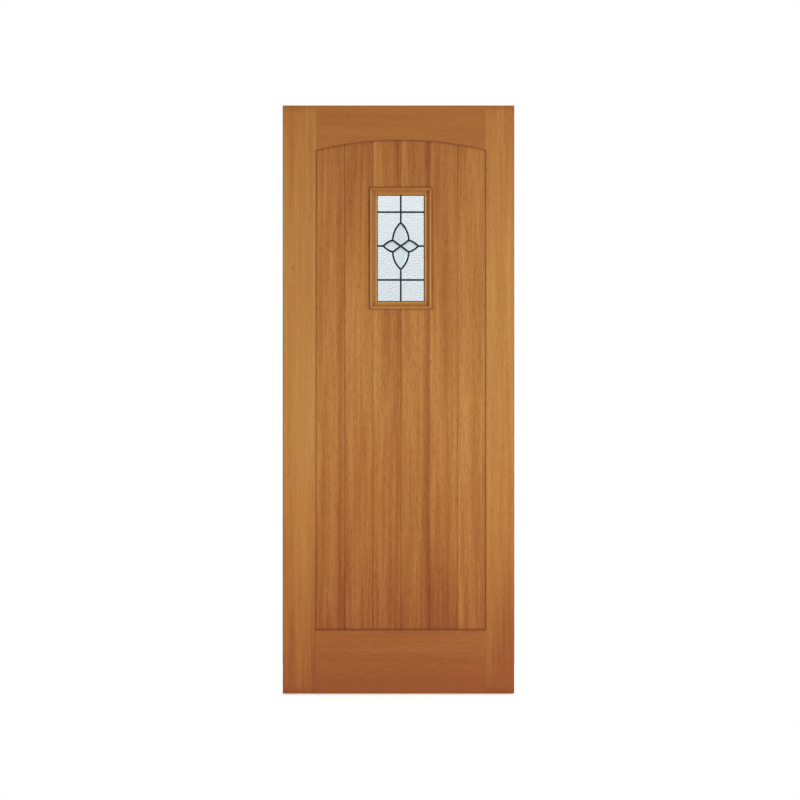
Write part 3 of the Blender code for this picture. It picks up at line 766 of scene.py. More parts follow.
def board_section(number):
    """A board's section in XY between its two joint lines, as an array of shape (1, corners, 2)."""
    left = PANEL_LEFT + (number - 1) * BOARD_COVER + SEEN_GAP / 2
    right = left + BOARD_COVER - SEEN_GAP
    face, tongue = BOARD_FACE, HALF_TONGUE
    side = tongue if number == 1 else GROOVE_SIDE
    depth = -TONGUE_DEPTH if number == 1 else GROOVE_DEPTH
    corners = [
        (left + BOARD_CHAMFER, -face), (right - BOARD_CHAMFER, -face), (right, BOARD_CHAMFER - face),
        (right, -tongue), (right + TONGUE_DEPTH, -tongue), (right + TONGUE_DEPTH, tongue), (right, tongue),
        (right, face - BOARD_CHAMFER), (right - BOARD_CHAMFER, face), (left + BOARD_CHAMFER, face),
        (left, face - BOARD_CHAMFER), (left, side), (left + depth, side), (left + depth, -side),
        (left, -side), (left, BOARD_CHAMFER - face),
    ]
    radii = [BOARD_ARRIS if abs(y) == face else 0.0 for _, y in corners]
    return divide(soften(np.array([corners]), radii))


def end_tongue(section, number):
    """The thin tongue at a board's ends. Beyond the first board it starts at the bottom of the groove."""
    thin = section.copy()
    thin[..., 1] = np.clip(thin[..., 1], END_TONGUE_EASING - HALF_TONGUE, HALF_TONGUE - END_TONGUE_EASING)
    if number > 1:
        thin[..., 0] = np.maximum(thin[..., 0], section[..., 0].min() + GROOVE_DEPTH)
    return thin


print("points round a board with a tongue and a groove:", board_section(2).shape[1])

# %% Make the boards
STRIPES = (
    (0.1990, 0.0150, 0.30),
    (0.3020, 0.0070, 0.12),
    (0.4000, 0.0120, 0.15),
    (0.5000, 0.0110, 0.24),
    (0.5660, 0.0100, 0.10),
)
BOARD_TONES = (0.64, 0.64, 0.61, 0.65, 0.62, 0.68)
# Painted light: how much paler the chamfers of each V-joint are made.
JOINT_PAINTED_LIGHT = 0.05
JOINT_SOAK, STILE_SOAK, RAIL_SOAK, SHADOW_SOAK = 0.09, 0.15, 0.45, 0.50
SOAK_WIDTH = 0.005
MOULDING_SHADOW = 0.0030
END_MARKS = np.array([0.0, 0.003, 0.006, 0.010, 0.016])
RING_MARKS = (-0.002, 0.0, 0.002, 0.005, 0.009)
RING_HEIGHTS = [SIGHT_TOP + MOULDING_WIDTH + mark for mark in RING_MARKS]
RING_HEIGHTS += [SIGHT_FOOT - MOULDING_WIDTH - mark for mark in RING_MARKS]
LEVEL_TO = max(RING_HEIGHTS)
CUT_HEIGHTS = (APERTURE_FOOT, APERTURE_FOOT + STEP, APERTURE_TOP - STEP, APERTURE_TOP)
CUTS = {
    LIGHT_FIRST_BOARD - 1: (0.0, APERTURE_LEFT - JOINT_GAP),
    LIGHT_FIRST_BOARD + LIGHT_BOARD_COUNT: (APERTURE_RIGHT + JOINT_GAP, LEAF_WIDTH),
}


def to_joint(places):
    """How far each place is from the closest joint line."""
    joints = PANEL_LEFT + BOARD_COVER * np.arange(BOARD_COUNT + 1)
    return np.abs(places[:, :1] - joints).min(axis=1)


def board_soak_and_shadow(places):
    """Dark stain in the V-joints and along the frame, and a painted shadow in a thin line round the outside
    moulding.
    """
    to_stile = np.minimum(places[:, 0] - PANEL_LEFT, PANEL_RIGHT - places[:, 0])
    to_frame = np.minimum(places[:, 2] - PANEL_FOOT, arch(places[:, 0]) - places[:, 2])
    beyond_x = np.maximum(SIGHT_LEFT - places[:, 0], places[:, 0] - SIGHT_RIGHT)
    beyond_z = np.maximum(SIGHT_FOOT - places[:, 2], places[:, 2] - SIGHT_TOP)
    to_moulding = np.maximum(np.maximum(beyond_x, beyond_z) - MOULDING_WIDTH, 0.0)
    soak = JOINT_SOAK * near(to_joint(places), 0.0, SOAK_WIDTH)
    soak += STILE_SOAK * near(to_stile, 0.0, SOAK_WIDTH) + RAIL_SOAK * near(to_frame, 0.0, SOAK_WIDTH)
    # Painted shadow: a thin dark line on the boards round the outside moulding.
    return soak + SHADOW_SOAK * near(to_moulding, 0.0, MOULDING_SHADOW)


def make_board(name, number, foot, top):
    """A board. foot and top are heights where the light cuts it, or None where it runs into the frame. A ring
    lies at level + bend * (end - highest), where bend grows from 0 above the light to 1 at the end."""
    section = board_section(number)
    thin = end_tongue(section, number)
    start = PANEL_FOOT + JOINT_GAP if foot is None else foot
    end = arch(section[..., 0], -JOINT_GAP) if top is None else np.full(section.shape[:2], top)
    highest = end.max()
    cut = CUTS.get(number)
    marks = np.r_[start + END_MARKS, RING_HEIGHTS, highest - END_MARKS, CUT_HEIGHTS if cut else []]
    level = stations(*np.unique(marks.clip(start, highest)))[:, None]
    bend = np.clip((level - LEVEL_TO) / (highest - LEVEL_TO), 0.0, 1.0)
    heights = level + bend * (end - highest)
    outline = np.broadcast_to(section, (len(level), *section.shape[1:])).copy()
    if cut:
        in_light = (level > CUT_HEIGHTS[0] + STEP / 2) & (level < CUT_HEIGHTS[-1] - STEP / 2)
        outline[..., 0] = np.where(in_light, np.clip(outline[..., 0], *cut), outline[..., 0])
    rings = [np.concatenate([outline, heights[..., None]], -1)]
    if foot is None:
        for height in (start, PANEL_FOOT - TONGUE_DEPTH):
            rings.insert(0, np.concatenate([thin, np.full((*thin.shape[:2], 1), height)], -1))
    if top is None:
        for outwards in (-JOINT_GAP, TONGUE_DEPTH):
            rings.append(np.concatenate([thin, arch(thin[..., :1], outwards)], -1))
    board = new_piece(name + "_planed", *carried(np.concatenate(rings)), [name], "board_wood")
    places = vertex_places(board)
    warmth = BOARD_TONES[number - 1] + painted_height_shade(places[:, 2])
    # Painted light: the chamfers of each V-joint are made a little paler, which softens the shade in the V.
    warmth += JOINT_PAINTED_LIGHT * near(to_joint(places), 0.0, BOARD_CHAMFER)
    for centre, width, strength in STRIPES:
        warmth -= strength * near(places[:, 0], centre, width)
    dress(board, BOARD_WOOD, places, warmth, board_soak_and_shadow(places))


for number in range(1, BOARD_COUNT + 1):
    if LIGHT_FIRST_BOARD <= number < LIGHT_FIRST_BOARD + LIGHT_BOARD_COUNT:
        make_board(f"board_{number}_lower", number, foot=None, top=APERTURE_FOOT)
        make_board(f"board_{number}_upper", number, foot=APERTURE_TOP, top=None)
    else:
        make_board(f"board_{number}", number, foot=None, top=None)

# %% [markdown]
# ## The mouldings round the light
#
# Four mitred lengths hold the glass in on each face. Outside, from the glass outwards, the section is a small
# round bead, a narrow quirk, a hollow and a flat top that rounds down to the boards. Inside it is plainer.
# The section is made of arcs, carried from one mitre to the other: the end planes lean outwards at 45 degrees,
# so a point that lies u further from the glass is carried u further along at both ends. The bead is painted
# paler than the rest, which is painted light, and each side is stained a little differently, as separate lengths
# are. The edge at the glass, the foot of the outer round and the outside hollow are painted darker, the last two
# by an amount for each side, which is painted shade.

# %% Moulding sections
MOULDING_RISE = 0.007
MOULDING_TOP_WIDTH = 0.0052
MOULDING_OUTER_RADIUS = 0.004
MOULDING_STEP = 0.001
ASTRAGAL_RADIUS = 0.003
ASTRAGAL_SEAT = 0.0055
ASTRAGAL_QUIRK = 0.001
INSIDE_MOULDING_RISE = 0.005
INSIDE_SIGHT_RISE = 0.001
INSIDE_MOULDING_ROUND = 0.003
HOLLOW_START = 2 * ASTRAGAL_RADIUS + ASTRAGAL_QUIRK
HOLLOW_END = MOULDING_WIDTH - MOULDING_OUTER_RADIUS - MOULDING_TOP_WIDTH
ARC_STEPS = 14


def arc(centre, radii, start, end):
    """Part of an ellipse: centre + radii * (cos a, sin a), with a from one angle to another in degrees."""
    a = np.radians(np.linspace(start, end, ARC_STEPS + 1))
    return np.array(centre) + np.array(radii) * np.stack([np.cos(a), np.sin(a)], axis=1)


def moulding_back():
    """The back of a moulding: over the boards, down the edge of the opening and along the glass."""
    rebate, glass = MOULDING_COVER - JOINT_GAP, JOINT_GAP - GLASS_DEPTH
    return np.array([(MOULDING_WIDTH, JOINT_GAP), (rebate, JOINT_GAP), (rebate, glass), (0.0, glass)])


def outside_section():
    """Bead, quirk, hollow, flat top and round, measured outwards from the glass and from the boards' face."""
    seat = ASTRAGAL_SEAT - GLASS_DEPTH
    hollow_top = MOULDING_RISE - MOULDING_STEP
    fall = MOULDING_OUTER_RADIUS
    bead = arc((ASTRAGAL_RADIUS, seat), (ASTRAGAL_RADIUS, ASTRAGAL_RADIUS), 180, 0)
    hollow = arc((HOLLOW_START, hollow_top), (HOLLOW_END - HOLLOW_START, hollow_top - seat), 270, 360)
    outer = arc((MOULDING_WIDTH - fall, MOULDING_RISE - fall), (fall, fall), 90, 0)
    return np.concatenate([bead, hollow, [(HOLLOW_END, MOULDING_RISE)], outer, moulding_back()])


def inside_section():
    """A slightly splayed bead with two rounded arrises."""
    radius = INSIDE_MOULDING_ROUND
    inner = arc((radius, INSIDE_SIGHT_RISE), (radius, radius), 180, 90)
    outer = arc((MOULDING_WIDTH - radius, INSIDE_MOULDING_RISE - radius), (radius, radius), 90, 0)
    return np.concatenate([inner, outer, moulding_back()])


print("points in a moulding's section:", len(outside_section()), "outside,", len(inside_section()), "inside")

# %% Make the mouldings
MOULDING_TONES = {"top": 0.55, "bottom": 0.66, "left": 0.62, "right": 0.56}
# Painted shade in the hollow of each outside moulding, with a strength for each side.
HOLLOW_PAINTED_SHADE = {"top": 0.10, "bottom": 0.50, "left": 0.75, "right": 0.85}
# Painted shade at the foot of each moulding's outer round, where it meets the boards, with a strength for each
# side.
OUTER_PAINTED_SHADE = {"top": 0.85, "bottom": 0.45, "left": 0.75, "right": 0.85}
HOLLOW_MIDDLE = (HOLLOW_START + HOLLOW_END) / 2
HOLLOW_REACH = 0.0036
# Painted shade: a dark line along each moulding's edge at the glass.
GLASS_PAINTED_SHADE, GLASS_PAINTED_SHADE_WIDTH = 0.6, 0.0007
OUTER_PAINTED_SHADE_WIDTH = 0.0022
HIDDEN_SOAK = 0.5
BESIDE_GLASS = 0.0001
MITRE_SOAK, MITRE_SOAK_WIDTH = 0.3, 0.0008
BEAD_PAINTED_LIGHT = 0.55
MOULDING_ARRIS = 0.00025
MOULDING_FACE_SPACING = 0.002
MOULDING_LENGTH_SPACING = 0.08
MOULDING_SMOOTH = math.radians(30)


def moulding_painted_shade(u, v, outer, hollow):
    """Painted shade: a dark line at the glass and, as far as outer and hollow say, at the foot of the round and
    in the hollow. What lies against the glass is evenly dark."""
    soak = GLASS_PAINTED_SHADE * near(u, 0.0, GLASS_PAINTED_SHADE_WIDTH) + outer * near(u, MOULDING_WIDTH, OUTER_PAINTED_SHADE_WIDTH)
    soak = soak + hollow * near(u, HOLLOW_MIDDLE, HOLLOW_REACH)
    return np.where(v > JOINT_GAP - GLASS_DEPTH + BESIDE_GLASS, soak, HIDDEN_SOAK)


def make_moulding(name, section, side, face, tone, outer, hollow):
    """One mitred length. side points away from the glass and face away from the leaf, both along an axis."""
    along = np.cross(side, face)
    middle = np.array([(SIGHT_LEFT + SIGHT_RIGHT) / 2, 0.0, (SIGHT_FOOT + SIGHT_TOP) / 2])
    half_sight = np.array([(SIGHT_RIGHT - SIGHT_LEFT) / 2, 0.0, SIGHT_HEIGHT / 2])
    half_length = half_sight @ np.abs(along)
    start = middle + side * (half_sight @ np.abs(side)) + face * BOARD_FACE
    section = divide(soften(section[None], MOULDING_ARRIS), MOULDING_FACE_SPACING)[0]
    share = stations(-1.0, 1.0, spacing=MOULDING_LENGTH_SPACING)[:, None]
    lengthwise = share * (half_length + section[:, 0] - JOINT_GAP / 2)
    u, v = (np.broadcast_to(value, lengthwise.shape) for value in section.T)
    rings = start + u[..., None] * side + v[..., None] * face + lengthwise[..., None] * along
    piece = new_piece(name + "_planted", *carried(rings), [name], "moulding_wood", MOULDING_SMOOTH)
    local = vertex_places(piece) - start
    grain = np.stack([local @ side, local @ face, local @ along], axis=1)
    soak = moulding_painted_shade(grain[:, 0], grain[:, 1], outer, hollow)
    to_mitre = half_length + grain[:, 0] - np.abs(grain[:, 2])
    soak += MITRE_SOAK * near(to_mitre, 0.0, MITRE_SOAK_WIDTH)
    # Painted light: the bead is made paler, as if it caught more light.
    warmth = tone + BEAD_PAINTED_LIGHT * near(grain[:, 0], ASTRAGAL_RADIUS, ASTRAGAL_RADIUS)
    dress(piece, MOULDING_WOOD, grain, warmth, soak)


SIDES = {"top": (0, 0, 1), "bottom": (0, 0, -1), "left": (-1, 0, 0), "right": (1, 0, 0)}
FACES = {"outside": ((0, -1, 0), outside_section()), "inside": ((0, 1, 0), inside_section())}
for face_name, (face, section) in FACES.items():
    for side_name, side in SIDES.items():
        hollow = HOLLOW_PAINTED_SHADE[side_name] if face_name == "outside" else 0.0
        make_moulding(f"moulding_{face_name}_{side_name}", section, np.array(side), np.array(face),
                      MOULDING_TONES[side_name], OUTER_PAINTED_SHADE[side_name], hollow)

# %% [markdown]
# ## Finishes of the light
#
# Lead turns nearly black in the weather and stays a little uneven. The glass has to be see-through, so its
# shader says plainly: full transmission, the tint, the roughness and the index of refraction are numbers on
# the shader itself, and only the ripple in its surface is a pattern.

# %% Lead, glass and spacer materials
LEAD_DARK = (0.004, 0.006, 0.008, 1.0)
LEAD_WORN = (0.012, 0.017, 0.021, 1.0)
LEAD_SHINE = 0.15
ALUMINIUM_DARK = (0.36, 0.37, 0.38, 1.0)
ALUMINIUM_PALE = (0.52, 0.53, 0.54, 1.0)
MOTTLE_STARTS, MOTTLE_ENDS, MOTTLE_DETAIL = 0.35, 0.70, 4.0
GRIT_FINER, GRIT_BUMP, GRIT_RELIEF = 4, 0.3, 0.00015
TEXTURED_TINT = (0.885, 0.925, 0.955, 1.0)
CLEAR_TINT = (0.73, 0.80, 0.83, 1.0)
PANE_TINT = (0.93, 0.965, 0.97, 1.0)
GLASS_IOR = 1.5
RIPPLE_RELIEF = 0.0004


def object_noise(tree, scale, detail=2.0):
    """Noise on the object's own coordinates, so many bumps a metre."""
    return noise(tree, tree.nodes.new("ShaderNodeTexCoord").outputs["Object"], scale, detail)


def make_metal(name, dark, light, metallic, roughness, scale):
    """A dull metal, mottled between two colours and two roughnesses, with a finer grit."""
    material, tree, shader = new_material(name)
    mottle = object_noise(tree, scale, MOTTLE_DETAIL)
    smooth, rough = roughness
    for socket, start, end in (("Base Color", dark, light), ("Roughness", grey(smooth), grey(rough))):
        link(tree, ramp(tree, mottle, (MOTTLE_STARTS, start), (MOTTLE_ENDS, end)), shader.inputs[socket])
    shader.inputs["Metallic"].default_value = metallic
    add_bump(tree, object_noise(tree, scale * GRIT_FINER), GRIT_BUMP, GRIT_RELIEF)
    return material


def make_glass(name, tint, roughness, scale, ripple):
    """See-through glass. scale and ripple say how many ripples its surface has a metre and how strong."""
    material, tree, shader = new_material(name)
    shader.inputs["Base Color"].default_value = tint
    shader.inputs["Transmission Weight"].default_value = 1.0
    shader.inputs["Roughness"].default_value = roughness
    shader.inputs["IOR"].default_value = GLASS_IOR
    add_bump(tree, object_noise(tree, scale), ripple, RIPPLE_RELIEF)
    return material


LEAD = make_metal("weathered_lead", LEAD_DARK, LEAD_WORN, metallic=0.1, roughness=(0.60, 0.75), scale=160.0)
LEAD.node_tree.nodes["Principled BSDF"].inputs["Specular IOR Level"].default_value = LEAD_SHINE
SPACER_METAL = make_metal("mill_aluminium", ALUMINIUM_DARK, ALUMINIUM_PALE,
                          metallic=1.0, roughness=(0.3, 0.45), scale=90.0)
TEXTURED_GLASS = make_glass("textured_glass_sheet", TEXTURED_TINT, roughness=0.15, scale=260.0, ripple=0.5)
CLEAR_GLASS = make_glass("polished_glass", CLEAR_TINT, roughness=0.02, scale=25.0, ripple=0.05)
PANE_GLASS = make_glass("inner_pane_glass", PANE_TINT, roughness=0.01, scale=6.0, ripple=0.02)
print("finishes:", LEAD.name, TEXTURED_GLASS.name, CLEAR_GLASS.name, PANE_GLASS.name, SPACER_METAL.name)

# %% [markdown]
# ## The pattern of the leaded light
#
# Every piece of glass fills a cell between lead lines. A cell is a list of corners, anticlockwise, each with
# how far the side that leaves it bows out. Offsetting a cell inwards gives everything else: the lead's edge,
# the glass's edge and the bevel are the same outline at other distances. Straight sides move over, curved
# sides are circles with another radius, and new corners are where two moved sides cross.

# %% Sizes of the pattern
CAME_WIDTH = 0.005
SEEN_CAME_WIDTH = 0.006
CAME_FLANGE = 0.001
CAME_HEART = 0.0015
BORDER_SHOWS = 0.002
QUARRY_THICKNESS = 0.004
BEVEL_RUN = 0.006
BEVEL_FALL = 0.0015
TOP_QUARRY_HEIGHT = 0.0593
BOTTOM_QUARRY_HEIGHT = 0.0756
FLOWER_HEAD_MARGIN = 0.0363
FLOWER_SIDE_MARGIN = 0.022
FLOWER_SHOULDER_X = 0.0277
FLOWER_SHOULDER_Z = 0.0204
PETAL_SWELL = 0.0068
SIDE_PETAL_SWELL = 0.0030

UNIT_LEFT = APERTURE_LEFT + UNIT_EDGE_GAP
UNIT_RIGHT = APERTURE_RIGHT - UNIT_EDGE_GAP
UNIT_FOOT = APERTURE_FOOT + JOINT_GAP
UNIT_TOP = APERTURE_TOP - UNIT_EDGE_GAP
LEAD_FRONT = -UNIT_THICKNESS / 2
CHANNEL_WIDTH = QUARRY_THICKNESS + 2 * JOINT_GAP
LEAD_MIDDLE = LEAD_FRONT + CAME_FLANGE + CHANNEL_WIDTH / 2
PATTERN_X = (SIGHT_LEFT + SIGHT_RIGHT) / 2
UPPER_LEAD_LINE = SIGHT_TOP - TOP_QUARRY_HEIGHT
LOWER_LEAD_LINE = SIGHT_FOOT + BOTTOM_QUARRY_HEIGHT
PATTERN_Z = (UPPER_LEAD_LINE + LOWER_LEAD_LINE) / 2
LEAD_LINE = UPPER_LEAD_LINE - PATTERN_Z
HALF_SIGHT = (SIGHT_RIGHT - SIGHT_LEFT) / 2
BORDER_OUT = CAME_WIDTH / 2 - BORDER_SHOWS
EDGE = HALF_SIGHT + BORDER_OUT
HEAD = SIGHT_TOP - PATTERN_Z + BORDER_OUT
FOOT = SIGHT_FOOT - PATTERN_Z - BORDER_OUT
FLOWER_TIP = LEAD_LINE - FLOWER_HEAD_MARGIN
FLOWER_SIDE_TIP = HALF_SIGHT - FLOWER_SIDE_MARGIN

print("lead lines at the heights", round(LOWER_LEAD_LINE, 4), "and", round(UPPER_LEAD_LINE, 4))


# %% Move an outline inwards
SIDE_STEPS = 24


def moved_side(start, end, swell, inwards_by):
    """A cell's side moved inwards: (point, point, None) if it is straight, or else (centre, None, radius)."""
    chord = end - start
    inwards = Vector((-chord.y, chord.x)).normalized()
    if swell == 0:
        return start + inwards * inwards_by, end + inwards * inwards_by, None
    radius = (chord.length_squared / 4 + swell**2) / (2 * swell)
    return (start + end) / 2 + inwards * (radius - swell), None, abs(radius - inwards_by)


def crossing(first, second, near_corner):
    """Where two moved sides meet, closest to the corner that they come from."""
    if first[2] is None and second[2] is None:
        lines = [point.to_3d() for point in (*first[:2], *second[:2])]
        found = geometry.intersect_line_line(*lines)
        return found[0].to_2d() if found else first[1]
    if first[2] is None or second[2] is None:
        line, circle = (first, second) if first[2] is None else (second, first)
        found = geometry.intersect_line_sphere_2d(line[0], line[1], circle[0], circle[2], False)
    else:
        found = geometry.intersect_sphere_sphere_2d(first[0], first[2], second[0], second[2])
    return min(found, key=lambda point: (point - near_corner).length)


def side_points(start, end, centre, radius):
    """Points from start up to, but not at, end: along a line, or turned about a centre. They are closer
    together near both ends, at (1 - cos(pi f)) / 2 of the way."""
    share = (1 - np.cos(np.pi * np.arange(SIDE_STEPS) / SIDE_STEPS))[:, None] / 2
    start, end = np.array(start), np.array(end)
    if radius is None:
        return start + share * (end - start)
    arm = start - np.array(centre)
    turn = -Vector(arm).angle_signed(Vector(end - np.array(centre))) * share
    return np.array(centre) + np.hstack([np.cos(turn) * arm[0] - np.sin(turn) * arm[1],
                                         np.sin(turn) * arm[0] + np.cos(turn) * arm[1]])


def inset(cell, inwards_by):
    """A cell's outline with every side moved inwards, as an array of shape (points, 2) about the flower."""
    corners = [Vector(corner) for corner, _ in cell]
    ends = corners[1:] + corners[:1]
    sides = [moved_side(a, b, swell, inwards_by) for a, b, (_, swell) in zip(corners, ends, cell)]
    crossings = [crossing(sides[i - 1], side, corners[i]) for i, side in enumerate(sides)]
    starts = crossings if inwards_by else corners
    following = starts[1:] + starts[:1]
    return np.concatenate([side_points(start, end, side[0], side[2])
                           for side, start, end in zip(sides, starts, following)])


# %% The cells
def straight(*corners):
    """A cell with no curved side."""
    return [(corner, 0.0) for corner in corners]


def mirrored(cell, flip_x, flip_z):
    """A cell mirrored left to right, or top to bottom, or both, and still anticlockwise."""
    corners = [(-x if flip_x else x, -z if flip_z else z) for (x, z), _ in cell]
    swells = [swell for _, swell in cell]
    if flip_x != flip_z:
        corners, swells = corners[::-1], swells[-2::-1] + swells[-1:]
    return list(zip(corners, swells))


TOP_CELL = straight((0.0, LEAD_LINE), (EDGE, LEAD_LINE), (EDGE, HEAD), (0.0, HEAD))
BOTTOM_CELL = straight((0.0, FOOT), (EDGE, FOOT), (EDGE, -LEAD_LINE), (0.0, -LEAD_LINE))
UPPER_CELL = [
    ((0.0, FLOWER_TIP), -PETAL_SWELL), ((FLOWER_SHOULDER_X, FLOWER_SHOULDER_Z), -SIDE_PETAL_SWELL),
    ((FLOWER_SIDE_TIP, 0.0), 0.0), ((EDGE, 0.0), 0.0), ((EDGE, LEAD_LINE), 0.0), ((0.0, LEAD_LINE), 0.0),
]
UPPER_PETAL = [
    ((0.0, 0.0), 0.0), ((FLOWER_SHOULDER_X, FLOWER_SHOULDER_Z), PETAL_SWELL),
    ((0.0, FLOWER_TIP), PETAL_SWELL), ((-FLOWER_SHOULDER_X, FLOWER_SHOULDER_Z), 0.0),
]
RIGHT_PETAL = [
    ((0.0, 0.0), 0.0), ((FLOWER_SHOULDER_X, -FLOWER_SHOULDER_Z), SIDE_PETAL_SWELL),
    ((FLOWER_SIDE_TIP, 0.0), SIDE_PETAL_SWELL), ((FLOWER_SHOULDER_X, FLOWER_SHOULDER_Z), 0.0),
]
TEXTURED = {
    "top": (TOP_CELL, False), "upper": (UPPER_CELL, False),
    "lower": (UPPER_CELL, True), "bottom": (BOTTOM_CELL, False),
}
PETALS = {
    "upper": UPPER_PETAL, "lower": mirrored(UPPER_PETAL, False, True),
    "right": RIGHT_PETAL, "left": mirrored(RIGHT_PETAL, True, False),
}
print("lead lines round one upper quarry:", len(UPPER_CELL), "and round a petal:", len(UPPER_PETAL))

# %% [markdown]
# ## The lead
#
# A lead came is a strip with an H section: a heart in the middle and two leaves that cover the glass's edges.
# Its leaves are slightly rounded. The strips are cut to the pattern and soldered wherever they meet, and
# each joint leaves a low, smooth swelling. Half a came's section, carried round each cell from the lead's
# centre line to its edge and back, gives all the lead at once: neighbouring cells share a centre line, so
# their halves weld into one net. A last flat strip carries the border outwards, under the mouldings. The lead
# is seen a millimetre wider than its plain solid, because cement and solder widen its edges.

# %% Make the lead net
CAME_CROWN = 0.00055
SOLDER_RISE = 0.00022
SOLDER_REACH = 0.0042
LEAD_TOP = CHANNEL_WIDTH / 2 + CAME_FLANGE
CORNER_DIGITS = 5
DOME_STEPS = 8


def half_came():
    """Half a came's section as (distance from the centre line, depth from the middle): the rounded leaf,
    where the crown falls as 1 - cos, its edge, the channel and heart, and the same again behind."""
    a = np.linspace(0.0, np.pi / 2, DOME_STEPS + 1)
    dome = np.stack([SEEN_CAME_WIDTH / 2 * np.sin(a), CAME_CROWN * (1 - np.cos(a)) - LEAD_TOP], axis=1)
    channel = np.array([(SEEN_CAME_WIDTH / 2, -CHANNEL_WIDTH / 2), (CAME_HEART / 2, -CHANNEL_WIDTH / 2)])
    front = np.concatenate([dome, channel])
    return np.concatenate([front, front[::-1] * (1, -1)])


def solder_joints(cells):
    """The corners of all cells, where cames meet, as one array."""
    corners = {(round(x, CORNER_DIGITS), round(z, CORNER_DIGITS)) for cell in cells for (x, z), _ in cell}
    return np.array(sorted(corners))


def placed(outline, y):
    """An outline about the flower, put in the leaf at a depth y, as points in space."""
    y = np.broadcast_to(y, outline.shape[:-1])
    return np.stack([outline[..., 0] + PATTERN_X, y, outline[..., 1] + PATTERN_Z], axis=-1)


def swelling(outlines, joints):
    """How far the solder stands out: SOLDER_RISE * exp(-(distance / SOLDER_REACH)^2), with the distance to
    the closest joint."""
    distance = np.linalg.norm(outlines[..., None, :] - joints, axis=-1).min(axis=-1)
    return SOLDER_RISE * near(distance, 0.0, SOLDER_REACH)


def border_strip(joints):
    """The flat strip round the outside as four rows of points: outwards behind, and back inwards in front. It
    starts where the cells end, and its points there are the same as theirs, so that both weld."""
    up = [(EDGE, FOOT), (EDGE, -LEAD_LINE), (EDGE, 0.0), (EDGE, LEAD_LINE), (EDGE, HEAD)]
    corners = [(0.0, FOOT), *up, (0.0, HEAD), *[(-x, z) for x, z in up[::-1]]]
    following = corners[1:] + corners[:1]
    inner = np.concatenate([side_points(a, b, None, None) for a, b in zip(corners, following)])
    outer = inner.copy()
    outer[inner[:, 0] > EDGE - WELD, 0] = UNIT_RIGHT - PATTERN_X
    outer[inner[:, 0] < WELD - EDGE, 0] = UNIT_LEFT - PATTERN_X
    outer[inner[:, 1] > HEAD - WELD, 1] = UNIT_TOP - PATTERN_Z
    outer[inner[:, 1] < FOOT + WELD, 1] = UNIT_FOOT - PATTERN_Z
    swollen = LEAD_TOP + swelling(inner, joints)
    return np.stack([placed(inner, LEAD_MIDDLE + swollen), placed(outer, LEAD_MIDDLE + LEAD_TOP),
                     placed(outer, LEAD_MIDDLE - LEAD_TOP), placed(inner, LEAD_MIDDLE - swollen)])


def make_lead_net():
    """All the lead, as one welded net."""
    cells = [mirrored(cell, flip, low) for cell, low in TEXTURED.values() for flip in (False, True)]
    cells += list(PETALS.values())
    joints = solder_joints(cells)
    section = half_came()
    depth = section[:, 1:]
    outermost = np.abs(depth) > LEAD_TOP - CAME_CROWN - WELD / 2
    strips = []
    for cell in cells:
        rows = np.stack([inset(cell, distance) for distance in section[:, 0]])
        swollen = swelling(rows, joints) * outermost * np.sign(depth)
        strips.append(placed(rows, LEAD_MIDDLE + depth + swollen))
    strips.append(border_strip(joints))
    firsts = np.cumsum([0] + [strip[..., 0].size for strip in strips])
    faces = [face for strip, first in zip(strips, firsts) for face in strip_faces(*strip.shape[:2], first)]
    points = np.concatenate([strip.reshape(-1, 3) for strip in strips])
    net = new_piece("soldered_lead_net", points, faces, ["came_lattice"], "lead")
    net.data.materials.append(LEAD)


make_lead_net()

# %% [markdown]
# ## The textured glass
#
# Eight quarries are cut from rolled glass whose face is covered with small, soft dimples. A quarry has one
# curved side at most on each level, so it can be ruled: at every height z it runs from its left edge x(z),
# read off the cell's outline, to its right edge. The dimples are real relief: a sum of many small waves that
# run in all directions, pressed less than half a millimetre deep.

# %% Make the textured quarries
GLASS_FRONT = LEAD_MIDDLE - QUARRY_THICKNESS / 2
GLASS_BACK = LEAD_MIDDLE + QUARRY_THICKNESS / 2
QUARRY_SPACING = 0.0011
DIMPLE_DEPTH = 0.00045
DIMPLE_SPACING = (0.006, 0.013)
WAVES = 18
WAVE_SEED = 11
EDGE_CLEARANCE = CAME_HEART / 2 + JOINT_GAP
DIMPLE_SMOOTH = math.radians(60)


def dimples(x, z):
    """Relief from 0 to 1: (1 + a sum of WAVES sine waves in seeded directions, over sqrt(WAVES)) / 2, kept in
    that range."""
    chance = np.random.default_rng(WAVE_SEED)
    direction = chance.uniform(0.0, np.pi, WAVES)
    rate = 2 * np.pi / chance.uniform(*DIMPLE_SPACING, WAVES)
    phase = chance.uniform(0.0, 2 * np.pi, WAVES)
    wave = rate * (x[..., None] * np.cos(direction) + z[..., None] * np.sin(direction)) + phase
    return np.clip(0.5 + 0.5 * np.sin(wave).sum(axis=-1) / np.sqrt(WAVES), 0.0, 1.0)


def left_edge(outline, heights):
    """Where a right-hand cell begins at each height: at its lowest x if it is square, and otherwise along the
    flower's two arcs and then straight up."""
    if len(outline) == 4 * SIDE_STEPS:
        return np.full(len(heights), outline[:, 0].min())
    chain = np.concatenate([outline[2 * SIDE_STEPS::-1], outline[[-SIDE_STEPS]]])
    return np.interp(heights, chain[:, 1], chain[:, 0])


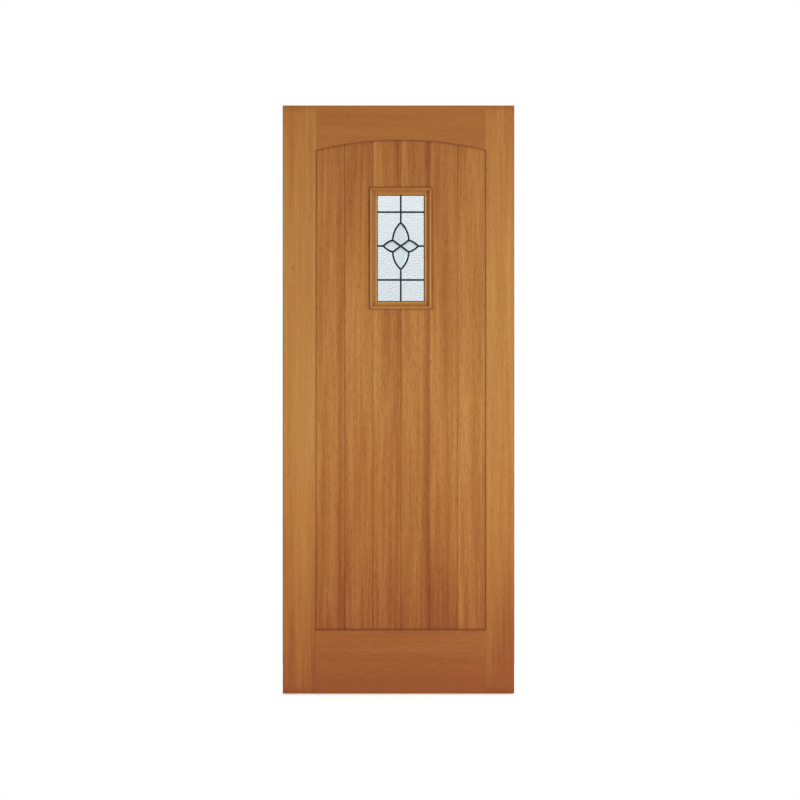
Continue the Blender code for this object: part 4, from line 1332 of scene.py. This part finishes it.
def make_quarry(name, node, cell, flip_x, flip_z):
    """A textured quarry, ruled from its left edge to its right edge at each height."""
    outline = inset(cell, EDGE_CLEARANCE)
    marks = [outline[:, 1].min(), outline[:, 1].max()]
    if len(cell) > 4:
        marks[1:1] = [outline[SIDE_STEPS, 1], outline[0, 1]]
    heights = stations(*marks, spacing=QUARRY_SPACING)
    left, right = left_edge(outline, heights), outline[:, 0].max()
    across = np.linspace(0.0, 1.0, math.ceil((right - left.min()) / QUARRY_SPACING) + 1)
    x = left[:, None] + across * (right - left[:, None])
    z = np.broadcast_to(heights[:, None], x.shape)
    x, z = (-x if flip_x else x), (-z if flip_z else z)
    flat = np.stack([x, z], axis=-1)
    front = placed(flat, GLASS_FRONT + DIMPLE_DEPTH * dimples(x, z))
    back = placed(flat, GLASS_BACK)[:, ::-1]
    rings = np.concatenate([front, back], axis=1)
    quarry = new_piece(name, *carried(rings), [node], "textured_glass", DIMPLE_SMOOTH)
    quarry.data.materials.append(TEXTURED_GLASS)


for level, (cell, low) in TEXTURED.items():
    for side_name, flip in (("right", False), ("left", True)):
        make_quarry(f"rolled_glass_{level}_{side_name}", f"quarry_{level}_{side_name}", cell, flip, low)

# %% [markdown]
# ## The bevelled flower
#
# The four petals are clear plate glass. Outside, their edge is ground down to a thin rim, and the slope
# bends the light, which is why it looks brighter than the middle. A petal is three outlines, one behind the
# other: the rim at the back, the rim in front where the bevel has thinned it, and the flat table inside it.

# %% Make the petals
BEVEL_SMOOTH = math.radians(8)

for petal, cell in PETALS.items():
    rim, table = inset(cell, EDGE_CLEARANCE), inset(cell, EDGE_CLEARANCE + BEVEL_RUN)
    ground_rim = placed(rim, GLASS_FRONT + BEVEL_FALL)
    skin = carried(np.stack([placed(rim, GLASS_BACK), ground_rim, placed(table, GLASS_FRONT)]))
    glass = new_piece(f"bevelled_petal_{petal}", *skin, [f"bevel_{petal}"], "clear_glass", BEVEL_SMOOTH)
    glass.data.materials.append(CLEAR_GLASS)

# %% [markdown]
# ## What stays as it is
#
# The spacer behind the lead and the clear pane on the inside are plain, square pieces, and their solids are
# already right. They keep their shape and only get a finish.

# %% Finish the spacer and the pane
for node, material in (("spacer_frame", SPACER_METAL), ("pane_inside", PANE_GLASS)):
    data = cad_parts[node].data
    data.materials.clear()
    data.materials.append(material)
    print(node, "gets", material.name)

# %% [markdown]
# ## Measure and finish
#
# The finer pieces have to fill the same box as the plain solids, so the box of the pieces that show is printed.

# %% Measure and finish
low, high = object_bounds()
triangles = {piece.name: sum(len(face.vertices) - 2 for face in piece.data.polygons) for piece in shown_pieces()}
print("pieces:", len(triangles), "triangles:", sum(triangles.values()), "most:", max(triangles.values()))
print("box, in mm:", [round(1000 * (b - a), 2) for a, b in zip(low, high)])
